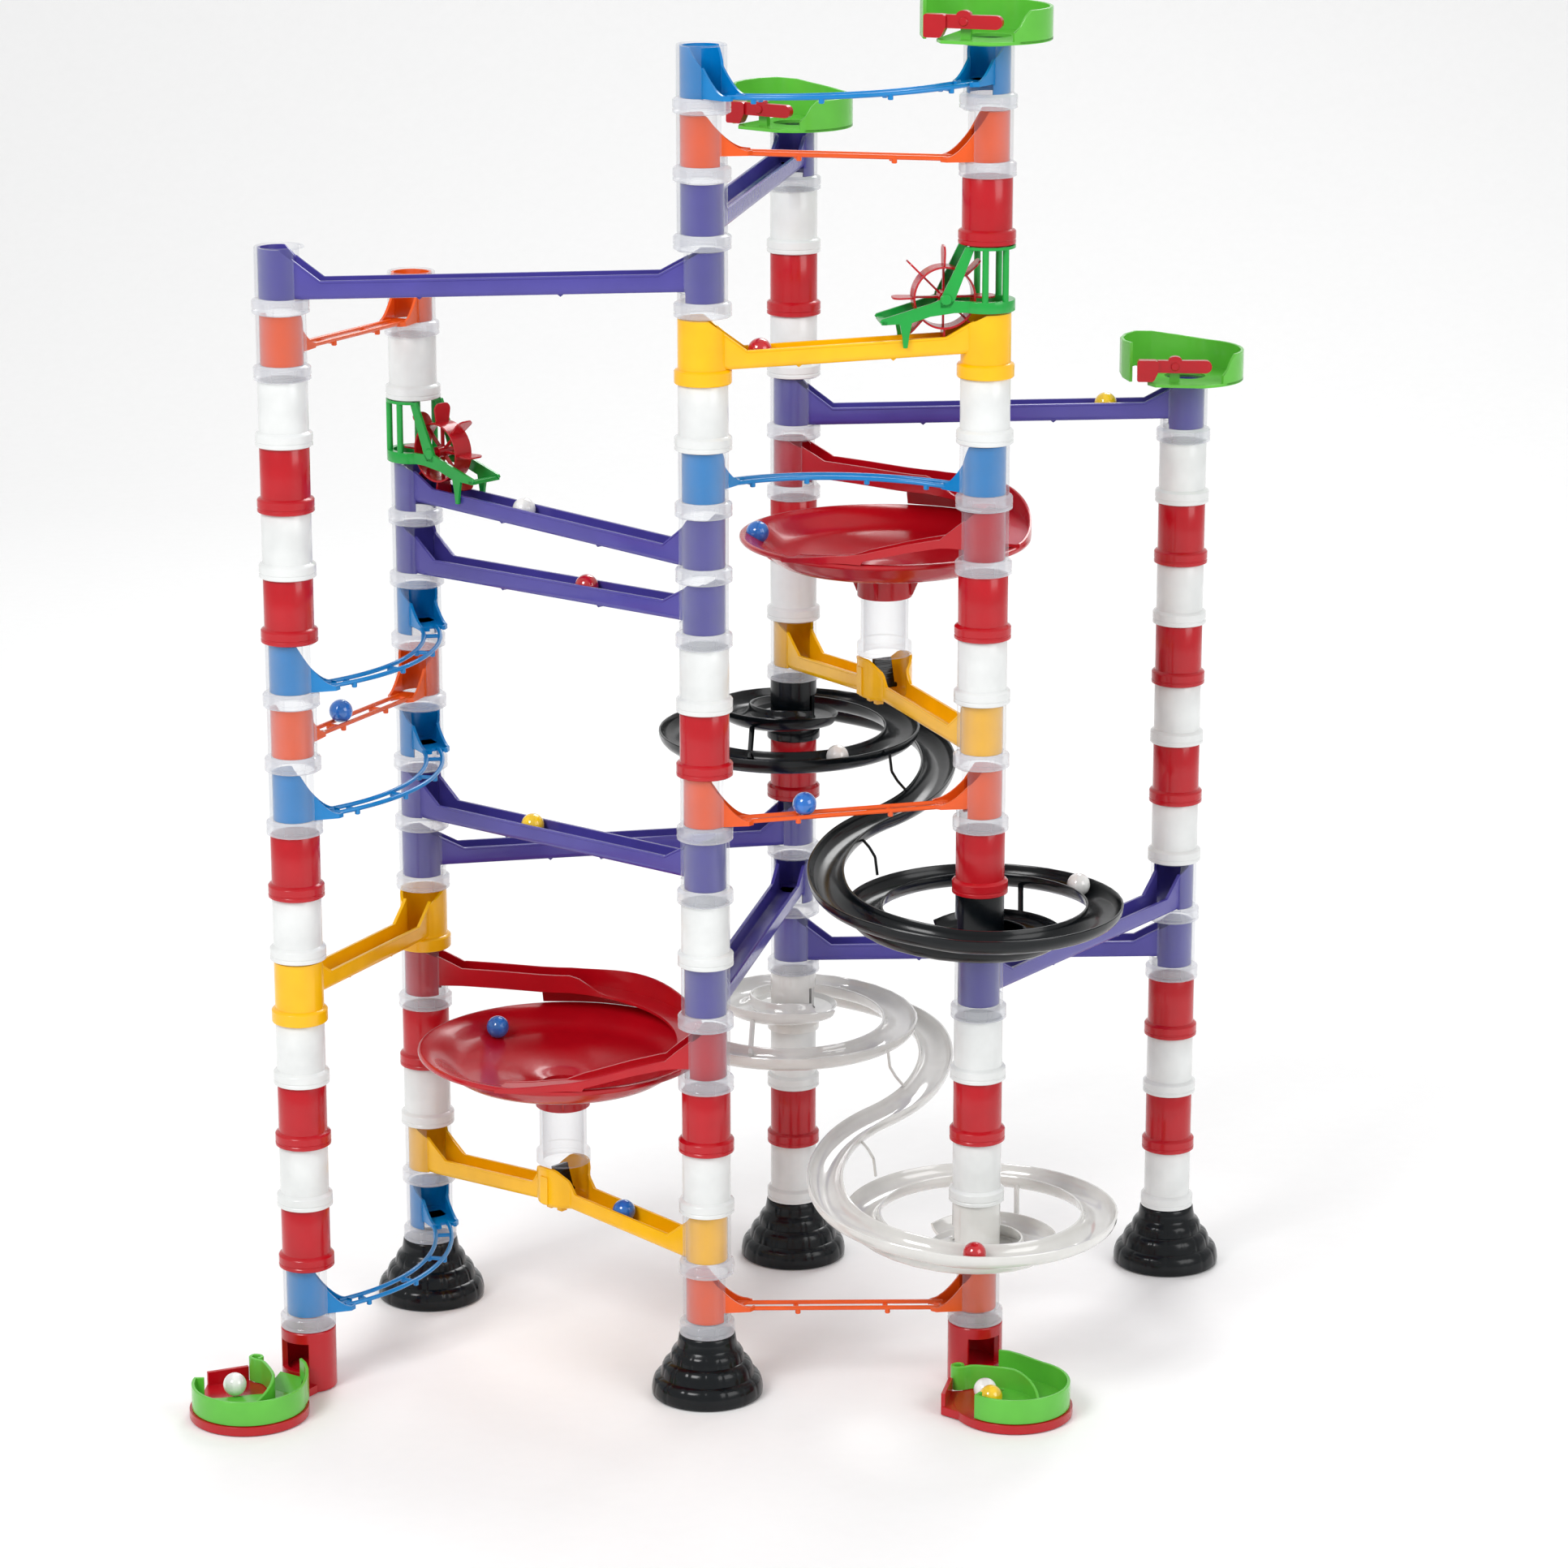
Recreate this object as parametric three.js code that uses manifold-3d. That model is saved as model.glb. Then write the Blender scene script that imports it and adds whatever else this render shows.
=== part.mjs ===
// Marble run: six towers of stacked tubes joined by rails, funnels and spiral tracks.
// Millimetres, +Z up. The front of the toy faces -Y.
import * as THREE from 'three';
import { mergeVertices } from 'three/addons/utils/BufferGeometryUtils.js';
import Module from 'manifold-3d';

const wasm = await Module();
wasm.setup();

// ---- driving dimensions -------------------------------------------------

const LONG_SPAN = 241; // axis to axis under a purple rail, a funnel or a spiral
const SHORT_SPAN = 163; // axis to axis under a yellow, orange or blue rail
const HEADING_C_TO_D = 80; // degrees anticlockwise from +X
const PITCH = 38.5; // height that one tube adds to a tower
const FOOT_HEIGHT = 38; // bases and exit blocks, up to the bottom of level 1
const SIDES = 6; // facets round every tube, bore and sleeve
const FACET_TURN = -4.5; // degrees; keeps the edges of the windows off the corners
const MERGE_TOLERANCE = 0.004; // flat neighbours this close are merged into one face
const GAP = 0.3; // clearance between touching pieces
const MARBLE_RADIUS = 7;

const TUBE = { outer: 14.5, bore: 12.6, collar: 17, collarHeight: 7.6 };
const LINER = { outer: 12.4, bore: 10.9 }; // spigot that runs up inside a coloured sleeve
const SLEEVE = { outer: 12.2, inner: 10.7, bottom: 8.6, top: 36.4 };
const CHANNEL = { halfInner: 7.3, wall: 1.6, height: 11, floor: 1.8 };
const RAIL = { highUnderside: 14.5, lowUnderside: 8.5, gussetReach: 11, gussetRise: 12 };
const WIRE = { halfSpacing: 4.9, size: 2.6, highCentre: 16.2, lowCentre: 10.4, turn: 50 };
const FUNNEL = { radius: 87.5, armRadius: 79, depth: 24, socketDrop: 38, hole: 12.6 };
const FORK = { middleRise: 16, seatTop: 41.5, seatRadius: 16.8, cheekReach: 26 };
const SPIRAL = { halfWidth: 11, height: 10.5 };
const TRAY = { radius: 36, floor: 2.2, wallLow: 16, wallHigh: 23 };
const WHEEL = { reach: 25, rise: 8.5, tip: 29.6, drum: 18, width: 11 };
const COLLECTOR = {
  distance: 57,
  radius: 35.5,
  plate: 5.5,
  rim: 20.5,
  fence: [[25.5, -28.5], [46, -42], [47.5, -39.9], [27, -26.2]], // red wall behind the bay
  fenceTop: 13.8,
  apron: [[25.5, -28.5], [46, -42], [60, -34], [30, -12]], // joins the fence to the plate
};

const COLOUR = {
  clear: 0xdfe6ee,
  purple: 0x57559d,
  orange: 0xea6931,
  blue: 0x0a86cc,
  yellow: 0xfec900,
  red: 0xc41e30,
  white: 0xf0f1ee,
  green: 0x5fb446,
  bracket: 0x1ea046,
  black: 0x101113,
};

// ---- small helpers ------------------------------------------------------

const radians = THREE.MathUtils.degToRad;

function heading(degrees) {
  return new THREE.Vector2(Math.cos(radians(degrees)), Math.sin(radians(degrees)));
}

function levelZ(level) {
  return FOOT_HEIGHT + (level - 1) * PITCH;
}

/** Turn a closed three.js geometry into a solid that can be joined and cut. */
function solid(geometry) {
  const bare = geometry.clone();
  bare.deleteAttribute('normal');
  bare.deleteAttribute('uv');
  const merged = mergeVertices(bare, 1e-4);
  const points = new Float32Array(merged.attributes.position.array);
  const kept = [];
  for (let i = 0; i < merged.index.count; i += 3) {
    const [a, b, c] = merged.index.array.slice(i, i + 3);
    if (a !== b && b !== c && c !== a) {
      kept.push(a, b, c);
    }
  }
  const corners = new Uint32Array(kept);
  if (signedVolume(points, corners) < 0) {
    for (let i = 0; i < corners.length; i += 3) {
      [corners[i], corners[i + 1]] = [corners[i + 1], corners[i]];
    }
  }
  return new wasm.Manifold(new wasm.Mesh({ numProp: 3, vertProperties: points, triVerts: corners }));
}

function signedVolume(points, corners) {
  const [a, b, c] = [new THREE.Vector3(), new THREE.Vector3(), new THREE.Vector3()];
  let volume = 0;
  for (let i = 0; i < corners.length; i += 3) {
    a.fromArray(points, corners[i] * 3);
    b.fromArray(points, corners[i + 1] * 3);
    c.fromArray(points, corners[i + 2] * 3);
    volume += a.dot(b.cross(c)) / 6;
  }
  return volume;
}

/** The finished solid as a named mesh of its own. */
function mesh(name, shape, colour, roughness = 0.3) {
  const { vertProperties, triVerts } = shape.asOriginal().simplify(MERGE_TOLERANCE).getMesh();
  const geometry = new THREE.BufferGeometry();
  geometry.setAttribute('position', new THREE.BufferAttribute(vertProperties, 3));
  geometry.setIndex(new THREE.BufferAttribute(triVerts, 1));
  geometry.computeVertexNormals();
  const material = new THREE.MeshStandardMaterial({ color: colour, roughness, metalness: 0 });
  const piece = new THREE.Mesh(geometry, material);
  piece.name = name;
  return piece;
}

function joinAll(shapes) {
  return shapes.reduce((whole, shape) => whole.add(shape));
}

function polygon(radius, sides) {
  const corners = [];
  for (let i = 0; i < sides; i += 1) {
    const angle = ((i + 0.5) * 2 * Math.PI) / sides + radians(FACET_TURN);
    corners.push(new THREE.Vector2(radius * Math.cos(angle), radius * Math.sin(angle)));
  }
  return corners;
}

/** An upright prism on a plan outline. */
function prism(outline, low, high) {
  const geometry = new THREE.ExtrudeGeometry(new THREE.Shape(outline), {
    depth: high - low,
    bevelEnabled: false,
  });
  return solid(geometry.translate(0, 0, low));
}

function disc(radius, low, high, sides = SIDES) {
  return prism(polygon(radius, sides), low, high);
}

/** An upright ring with a round bore. */
function ring(outer, inner, low, high, sides = SIDES) {
  const shape = new THREE.Shape(polygon(outer, sides));
  shape.holes.push(new THREE.Path(polygon(inner, sides)));
  const geometry = new THREE.ExtrudeGeometry(shape, { depth: high - low, bevelEnabled: false });
  return solid(geometry.translate(0, 0, low));
}

function block(x0, x1, y0, y1, z0, z1) {
  const geometry = new THREE.BoxGeometry(x1 - x0, y1 - y0, z1 - z0);
  return solid(geometry.translate((x0 + x1) / 2, (y0 + y1) / 2, (z0 + z1) / 2));
}

/** A plate that stands on edge: its outline is in X and Z, its thickness is from y0 to y1. */
function standingPlate(outline, y0, y1) {
  const shape = new THREE.Shape(outline.map(([x, z]) => new THREE.Vector2(x, z)));
  const geometry = new THREE.ExtrudeGeometry(shape, { depth: y1 - y0, bevelEnabled: false });
  geometry.rotateX(Math.PI / 2);
  return solid(geometry.translate(0, y1, 0));
}

/** The same standing plate on both sides of the centre line. */
function plateOnBothSides(outline, near, far) {
  return standingPlate(outline, near, far).add(standingPlate(outline, -far, -near));
}

/** A round bar along Y. */
function crossBar(x, z, radius, y0, y1, sides = 8) {
  const geometry = new THREE.CylinderGeometry(radius, radius, y1 - y0, sides);
  return solid(geometry.translate(x, (y0 + y1) / 2, z));
}

/** A profile turned about Z; the profile closes on itself. */
function turned(profile, sides = SIDES) {
  const points = [...profile, profile[0]].map(([r, z]) => new THREE.Vector2(r, z));
  const start = Math.PI / sides + Math.PI / 2 + radians(FACET_TURN);
  const geometry = new THREE.LatheGeometry(points, sides, start);
  return solid(geometry.rotateX(Math.PI / 2));
}

/**
 * A section carried along a path and kept upright. Each stop is {x, y, z, section}: the section
 * lists [offset to the left, height] points, the same number at every stop.
 */
function sweep(stops) {
  const count = stops[0].section.length;
  const positions = [];
  stops.forEach((stop, i) => {
    const before = stops[Math.max(i - 1, 0)];
    const after = stops[Math.min(i + 1, stops.length - 1)];
    const along = new THREE.Vector2(after.x - before.x, after.y - before.y).normalize();
    for (const [offset, height] of stop.section) {
      positions.push(stop.x - along.y * offset, stop.y + along.x * offset, stop.z + height);
    }
  });
  const corners = [];
  for (let i = 0; i + 1 < stops.length; i += 1) {
    for (let k = 0; k < count; k += 1) {
      const a = i * count + k;
      const b = i * count + ((k + 1) % count);
      corners.push(a, b, a + count, b, b + count, a + count);
    }
  }
  const last = (stops.length - 1) * count;
  for (const [end, flip] of [[0, true], [last, false]]) {
    const section = stops[end ? stops.length - 1 : 0].section.map(([u, v]) => new THREE.Vector2(u, v));
    const turn = THREE.ShapeUtils.isClockWise(section) ? !flip : flip;
    for (const [a, b, c] of THREE.ShapeUtils.triangulateShape(section, [])) {
      corners.push(end + a, end + (turn ? c : b), end + (turn ? b : c));
    }
  }
  const geometry = new THREE.BufferGeometry();
  geometry.setAttribute('position', new THREE.Float32BufferAttribute(positions, 3));
  geometry.setIndex(corners);
  return solid(geometry);
}

/** Move a shape that was made about the origin to a place and heading on the plan. */
function placed(shape, x, y, z, degrees = 0) {
  return shape.rotate([0, 0, degrees]).translate([x, y, z]);
}

// ---- plan of the six towers ---------------------------------------------

const tower = { C: new THREE.Vector2(0, 0) };
const apexHalfAngle = THREE.MathUtils.radToDeg(Math.asin(SHORT_SPAN / 2 / LONG_SPAN));

function towerAt(from, distance, degrees) {
  return from.clone().addScaledVector(heading(degrees), distance);
}

tower.D = towerAt(tower.C, LONG_SPAN, HEADING_C_TO_D);
tower.B = towerAt(tower.C, LONG_SPAN, HEADING_C_TO_D + 60);
tower.A = towerAt(tower.C, LONG_SPAN, HEADING_C_TO_D + 60 + 2 * apexHalfAngle);
tower.E = towerAt(tower.C, SHORT_SPAN, HEADING_C_TO_D - (90 - apexHalfAngle));
const headingDtoE = headingBetween('D', 'E');
tower.F = towerAt(tower.D, LONG_SPAN, headingDtoE + 60);

function headingBetween(from, to) {
  const step = tower[to].clone().sub(tower[from]);
  return THREE.MathUtils.radToDeg(Math.atan2(step.y, step.x));
}

function spanBetween(from, to) {
  return tower[from].distanceTo(tower[to]);
}

// ---- what joins the towers ------------------------------------------------

// Each rail runs downhill from its first tower to its second one.
const RAILS = [
  { kind: 'trough', colour: 'purple', from: 'D', to: 'C', level: 18 },
  { kind: 'trough', colour: 'purple', from: 'C', to: 'A', level: 17 },
  { kind: 'trough', colour: 'purple', from: 'F', to: 'D', level: 14 },
  { kind: 'trough', colour: 'purple', from: 'B', to: 'C', level: 13, wheel: true },
  { kind: 'trough', colour: 'purple', from: 'C', to: 'B', level: 12 },
  { kind: 'trough', colour: 'purple', from: 'C', to: 'B', level: 8 },
  { kind: 'trough', colour: 'purple', from: 'B', to: 'D', level: 7 },
  { kind: 'trough', colour: 'purple', from: 'D', to: 'C', level: 6 },
  { kind: 'trough', colour: 'purple', from: 'E', to: 'F', level: 6 },
  { kind: 'trough', colour: 'purple', from: 'F', to: 'D', level: 5 },
  { kind: 'trough', colour: 'yellow', from: 'E', to: 'C', level: 16, wheel: true },
  { kind: 'trough', colour: 'yellow', from: 'A', to: 'B', level: 6 },
  { kind: 'wires', colour: 'orange', from: 'C', to: 'E', level: 19 },
  { kind: 'wires', colour: 'orange', from: 'A', to: 'B', level: 16 },
  { kind: 'wires', colour: 'orange', from: 'A', to: 'B', level: 10 },
  { kind: 'wires', colour: 'orange', from: 'E', to: 'C', level: 9 },
  { kind: 'wires', colour: 'orange', from: 'C', to: 'E', level: 1 },
  { kind: 'curve', colour: 'blue', from: 'E', to: 'C', level: 20 },
  { kind: 'curve', colour: 'blue', from: 'C', to: 'E', level: 14 },
  { kind: 'curve', colour: 'blue', from: 'B', to: 'A', level: 11 },
  { kind: 'curve', colour: 'blue', from: 'B', to: 'A', level: 9 },
  { kind: 'curve', colour: 'blue', from: 'B', to: 'A', level: 1 },
];
const FORKS = [{ from: 'D', to: 'E', level: 10 }, { from: 'B', to: 'C', level: 2 }];
const FUNNELS = [{ from: 'D', to: 'E', level: 13 }, { from: 'B', to: 'C', level: 5 }];
const SPIRALS = [
  { name: 'black_spiral', colour: 'black', from: 'D', fromLevel: 9, to: 'E', toLevel: 7 },
  { name: 'white_spiral', colour: 'white', from: 'D', fromLevel: 4, to: 'E', toLevel: 2 },
];
const STACKS = [
  { name: 'tower_a_tubes', at: 'A', low: 1, high: 17, sleeved: [6] },
  { name: 'tower_b_lower_tubes', at: 'B', low: 1, high: 13, sleeved: [6] },
  { name: 'tower_b_upper_tubes', at: 'B', low: 15, high: 16, sleeved: [] },
  { name: 'tower_c_tubes', at: 'C', low: 1, high: 20, sleeved: [16] },
  { name: 'tower_d_tubes', at: 'D', low: 1, high: 18, sleeved: [4, 9] },
  { name: 'tower_e_lower_tubes', at: 'E', low: 1, high: 16, sleeved: [2, 7, 16] },
  { name: 'tower_e_upper_tubes', at: 'E', low: 18, high: 20, sleeved: [] },
  { name: 'tower_f_tubes', at: 'F', low: 1, high: 14, sleeved: [] },
];
const TRAYS = [
  { at: 'D', level: 19, heading: -31 },
  { at: 'E', level: 21, heading: -16 },
  { at: 'F', level: 15, heading: 0 },
];
const BRACKETS = [{ at: 'E', towards: 'C', level: 17 }, { at: 'B', towards: 'C', level: 14 }];
const COLLECTORS = [{ at: 'A', heading: -121 }, { at: 'E', heading: -66 }];

// ---- windows in the tube walls --------------------------------------------

// Every rail, arm or chute that leaves a tube passes through a window in its wall.
const windows = [];
const WINDOW_HALF_WIDTH = CHANNEL.halfInner + CHANNEL.wall + 0.5;

function addWindow(at, level, degrees, low, high) {
  windows.push({ at, level, degrees, low, high });
}

function windowCuts(at, low, high) {
  return windows
    .filter((w) => w.at === at && w.level >= low && w.level <= high)
    .map((w) => {
      const cut = block(0, 22, -WINDOW_HALF_WIDTH, WINDOW_HALF_WIDTH, w.low, w.high);
      return placed(cut, tower[at].x, tower[at].y, levelZ(w.level), w.degrees);
    });
}

// ---- tube stacks ------------------------------------------------------------

/** A run of tubes as one turned body: a collar at each joint, a liner where a sleeve goes round. */
function tubeStack({ name, at, low, high, sleeved }) {
  const outside = [];
  const inside = [];
  for (let level = low; level <= high; level += 1) {
    const base = levelZ(level) + (level === low ? GAP : 0);
    const top = levelZ(level + 1) - (level === high ? GAP : 0);
    if (sleeved.includes(level)) {
      outside.push([LINER.outer, base], [LINER.outer, top]);
      inside.push([LINER.bore, base], [LINER.bore, top]);
    } else {
      const collarTop = levelZ(level) + TUBE.collarHeight;
      outside.push([TUBE.collar, base], [TUBE.collar, collarTop]);
      outside.push([TUBE.outer, collarTop], [TUBE.outer, top]);
      inside.push([TUBE.bore, base], [TUBE.bore, top]);
    }
  }
  const bore = inside.filter(([r], i) => i === 0 || i === inside.length - 1 ||
    inside[i - 1][0] !== r || inside[i + 1][0] !== r);
  const body = placed(turned([...outside, ...bore.reverse()]), tower[at].x, tower[at].y, 0);
  const open = windowCuts(at, low, high).reduce((tube, cut) => tube.subtract(cut), body);
  return mesh(name, open, COLOUR.clear, 0.15);
}

// ---- rails --------------------------------------------------------------------

/** Underside of a rail at a distance from its high tower, above the bottom of its level. */
function slope(x, span, high, low) {
  const share = THREE.MathUtils.clamp((x - TUBE.outer) / (span - 2 * TUBE.outer), 0, 1);
  return high + (low - high) * share;
}

/** A sleeve about the origin. A yellow or black one takes the place of the tube. */
function endSleeve(outside) {
  if (outside) {
    const body = ring(TUBE.outer, LINER.outer + 0.4, GAP, PITCH - GAP);
    return body.add(ring(TUBE.collar, LINER.outer + 0.4, GAP, TUBE.collarHeight));
  }
  return ring(SLEEVE.outer, SLEEVE.inner, SLEEVE.bottom, SLEEVE.top);
}

/**
 * One end of a rail: a sleeve with a doorway that is open at the top. The facets of every sleeve
 * keep the heading of the tubes, so the whole rail's heading is taken off first.
 */
function sleeveWithDoor({ outside, railHeading, doorTurn, floorTop, closed }) {
  const half = CHANNEL.halfInner;
  const doorLow = outside ? floorTop : 0;
  const door = block(0, 20, -half, half, doorLow, PITCH + 1).rotate([0, 0, doorTurn]);
  const sleeve = endSleeve(outside).rotate([0, 0, -railHeading]).subtract(door);
  if (!closed) {
    return sleeve;
  }
  const radius = outside ? LINER.bore - 0.4 : SLEEVE.inner + 0.6;
  const floor = disc(radius, floorTop - CHANNEL.floor, floorTop).rotate([0, 0, -railHeading]);
  return sleeve.add(floor);
}

function bothSleeves(rail, span, railHeading, turn, highFloor, lowFloor) {
  const outside = rail.colour === 'yellow' && rail.kind === 'trough';
  const high = sleeveWithDoor({
    outside,
    railHeading,
    doorTurn: turn,
    floorTop: highFloor,
    closed: true,
  });
  const low = sleeveWithDoor({
    outside,
    railHeading,
    doorTurn: 180 - turn,
    floorTop: lowFloor,
    closed: false,
  });
  return high.add(low.translate([span, 0, 0]));
}

const WALL_START = 7.6; // the side walls reach this close to a tower's axis
const FLOOR_END = 9.6; // the floor stops here at a low end, so that the marble drops

function troughRail(rail, span, railHeading) {
  const { highUnderside, lowUnderside, gussetReach, gussetRise } = RAIL;
  const under = (x) => slope(x, span, highUnderside, lowUnderside);
  const reach = TUBE.outer + gussetReach;
  const gussetTop = (x) => under(x) + CHANNEL.height + gussetRise - 2;
  const walls = [
    [WALL_START, under(0)],
    [TUBE.outer, under(0)],
    [span - TUBE.outer, under(span)],
    [span - WALL_START, under(span)],
    [span - WALL_START, gussetTop(span)],
    [span - TUBE.outer, gussetTop(span)],
    [span - reach, under(span - reach) + CHANNEL.height],
    [reach, under(reach) + CHANNEL.height],
    [TUBE.outer, gussetTop(0)],
    [WALL_START, gussetTop(0)],
  ];
  const floor = [
    [0, under(0)],
    [TUBE.outer, under(0)],
    [span - TUBE.outer, under(span)],
    [span - FLOOR_END, under(span)],
    [span - FLOOR_END, under(span) + CHANNEL.floor],
    [span - TUBE.outer, under(span) + CHANNEL.floor],
    [TUBE.outer, under(0) + CHANNEL.floor],
    [0, under(0) + CHANNEL.floor],
  ];
  const half = CHANNEL.halfInner;
  return joinAll([
    plateOnBothSides(walls, half, half + CHANNEL.wall),
    standingPlate(floor, -half - 0.2, half + 0.2),
    bothSleeves(rail, span, railHeading, 0, highUnderside + CHANNEL.floor, lowUnderside + CHANNEL.floor),
  ]);
}

/** Gusset walls and a short floor where wires meet a sleeve; x runs out from the tower. */
function wireRoot(centre, isHigh) {
  const under = centre - WIRE.size / 2;
  const half = CHANNEL.halfInner;
  const walls = plateOnBothSides([
    [WALL_START, under],
    [25, under],
    [25, under + WIRE.size],
    [TUBE.outer, centre + 14],
    [WALL_START, centre + 14],
  ], half, half + CHANNEL.wall);
  const start = isHigh ? 0 : FLOOR_END;
  return walls.add(block(start, 25, -half - 0.2, half + 0.2, under, under + CHANNEL.floor));
}

/** Two wires on a straight or curved plan, with ties between them. */
function wireRail(rail, span, railHeading) {
  const curved = rail.kind === 'curve';
  const turn = curved ? WIRE.turn : 0;
  const radius = curved ? span / 2 / Math.sin(radians(turn)) : 0;
  const pointAt = (share, offset) => {
    if (!curved) {
      return { x: span * share, y: offset };
    }
    const angle = radians(turn * (1 - 2 * share));
    return {
      x: span / 2 - (radius + offset) * Math.sin(angle),
      y: (radius + offset) * Math.cos(angle) - radius * Math.cos(radians(turn)),
    };
  };
  const height = (share) => slope(span * share, span, WIRE.highCentre, WIRE.lowCentre);
  const half = WIRE.size / 2;
  const section = [[-half, -half], [half, -half], [half, half], [-half, half]];
  const first = 21 / span;
  const steps = curved ? 6 : 1;
  const shapes = [
    wireRoot(WIRE.highCentre, true).rotate([0, 0, turn]),
    wireRoot(WIRE.lowCentre, false).rotate([0, 0, 180 - turn]).translate([span, 0, 0]),
  ];
  for (const side of [-1, 1]) {
    const stops = [];
    for (let i = 0; i <= steps; i += 1) {
      const share = first + ((1 - 2 * first) * i) / steps;
      stops.push({ ...pointAt(share, side * WIRE.halfSpacing), z: height(share), section });
    }
    shapes.push(sweep(stops));
  }
  for (const share of curved ? [0.32, 0.68] : [0.36, 0.64]) {
    const middle = pointAt(share, 0);
    const tie = block(-1.2, 1.2, -WIRE.halfSpacing, WIRE.halfSpacing, -3.2, -0.8);
    shapes.push(placed(tie, middle.x, middle.y, height(share), turn * (1 - 2 * share)));
  }
  const rise = CHANNEL.floor - half;
  const [high, low] = [WIRE.highCentre + rise, WIRE.lowCentre + rise];
  shapes.push(bothSleeves(rail, span, railHeading, turn, high, low));
  return joinAll(shapes);
}

function makeRail(rail) {
  const span = spanBetween(rail.from, rail.to);
  const degrees = headingBetween(rail.from, rail.to);
  const turn = rail.kind === 'curve' ? WIRE.turn : 0;
  const trough = rail.kind === 'trough';
  const high = trough ? RAIL.highUnderside : WIRE.highCentre - WIRE.size / 2;
  const low = trough ? RAIL.lowUnderside : WIRE.lowCentre - WIRE.size / 2;
  const top = SLEEVE.top + 0.6;
  addWindow(rail.from, rail.level, degrees + turn, high - 0.6, rail.wheel ? PITCH + 0.5 : top);
  addWindow(rail.to, rail.level, degrees + 180 - turn, low - 0.6, top);
  const shape = trough ? troughRail(rail, span, degrees) : wireRail(rail, span, degrees);
  const spot = tower[rail.from];
  const ends = `${rail.from}${rail.level}_to_${rail.to}${rail.level}`.toLowerCase();
  const body = placed(shape, spot.x, spot.y, levelZ(rail.level), degrees);
  return mesh(`rail_${rail.colour}_${ends}`, body, COLOUR[rail.colour]);
}

// ---- forks, flaps and drop tubes ------------------------------------------------------

const FLAP_PIN = { rise: 21.5, radius: 1.5 };

/** A trough that falls both ways from the seat of a drop tube in its middle. */
function makeFork({ from, to, level }) {
  const span = spanBetween(from, to);
  const degrees = headingBetween(from, to);
  const middle = span / 2;
  const low = RAIL.lowUnderside;
  const peak = FORK.middleRise;
  const rim = CHANNEL.height - 1;
  const reach = TUBE.outer + RAIL.gussetReach;
  const seat = FORK.seatTop - GAP;
  const leftTop = [
    [middle - 12, seat],
    [middle - FORK.cheekReach, peak + rim - 2],
    [reach, low + rim + 1],
    [TUBE.outer, low + rim + 13],
    [WALL_START, low + rim + 13],
  ];
  const rightTop = leftTop.map(([x, z]) => [span - x, z]).reverse();
  const walls = [
    [WALL_START, low],
    [TUBE.outer, low],
    [middle, peak],
    [span - TUBE.outer, low],
    [span - WALL_START, low],
    ...rightTop,
    ...leftTop,
  ];
  const leftFloor = [[TUBE.outer, low + CHANNEL.floor], [FLOOR_END, low + CHANNEL.floor]];
  const floor = [
    [FLOOR_END, low],
    [TUBE.outer, low],
    [middle, peak],
    [span - TUBE.outer, low],
    [span - FLOOR_END, low],
    ...leftFloor.map(([x, z]) => [span - x, z]).reverse(),
    [middle, peak + CHANNEL.floor],
    ...leftFloor,
  ];
  const half = CHANNEL.halfInner;
  const sleeve = (doorTurn) => sleeveWithDoor({
    outside: false,
    railHeading: degrees,
    doorTurn,
    floorTop: low + CHANNEL.floor,
    closed: false,
  });
  const body = joinAll([
    plateOnBothSides(walls, half, half + CHANNEL.wall),
    standingPlate(floor, -half - 0.2, half + 0.2),
    ring(FORK.seatRadius, TUBE.bore, seat - 4, seat).translate([middle, 0, 0]),
    sleeve(0),
    sleeve(180).translate([span, 0, 0]),
  ]).subtract(crossBar(middle, FLAP_PIN.rise, FLAP_PIN.radius + 0.4, -12, 12));
  addWindow(from, level, degrees, low - 0.6, SLEEVE.top + 0.6);
  addWindow(to, level, degrees + 180, low - 0.6, SLEEVE.top + 0.6);
  const name = `fork_yellow_${from}${level}_to_${to}${level}`.toLowerCase();
  const spot = tower[from];
  return mesh(name, placed(body, spot.x, spot.y, levelZ(level), degrees), COLOUR.yellow);
}

/** The tipping flap that sends each marble to the other side of its fork. */
function makeFlap({ from, to, level }) {
  const paddle = standingPlate([[-3, -1], [3, -1], [1.2, 17], [-1.2, 17]], -6, 6);
  const body = paddle.add(crossBar(0, 0, FLAP_PIN.radius, -8.5, 8.5));
  const middle = tower[from].clone().add(tower[to]).multiplyScalar(0.5);
  const leaning = body.rotate([0, -12, 0]);
  const z = levelZ(level) + FLAP_PIN.rise;
  const shape = placed(leaning, middle.x, middle.y, z, headingBetween(from, to));
  return mesh(`flap_${from}${level}`.toLowerCase(), shape, COLOUR.black);
}

const DROP = { low: 74, high: 27.5 }; // below the rim of the funnel

/** The clear tube between a funnel and the fork below it. */
function makeDropTube({ from, to, level }) {
  const middle = tower[from].clone().add(tower[to]).multiplyScalar(0.5);
  const tube = ring(TUBE.outer, TUBE.bore, -DROP.low, -DROP.high);
  const collar = ring(TUBE.collar, TUBE.bore, -DROP.low, -DROP.low + TUBE.collarHeight);
  const shape = placed(tube.add(collar), middle.x, middle.y, levelZ(level));
  return mesh(`drop_tube_${from}${level}`.toLowerCase(), shape, COLOUR.clear, 0.15);
}

// ---- funnels ---------------------------------------------------------------------------

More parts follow.
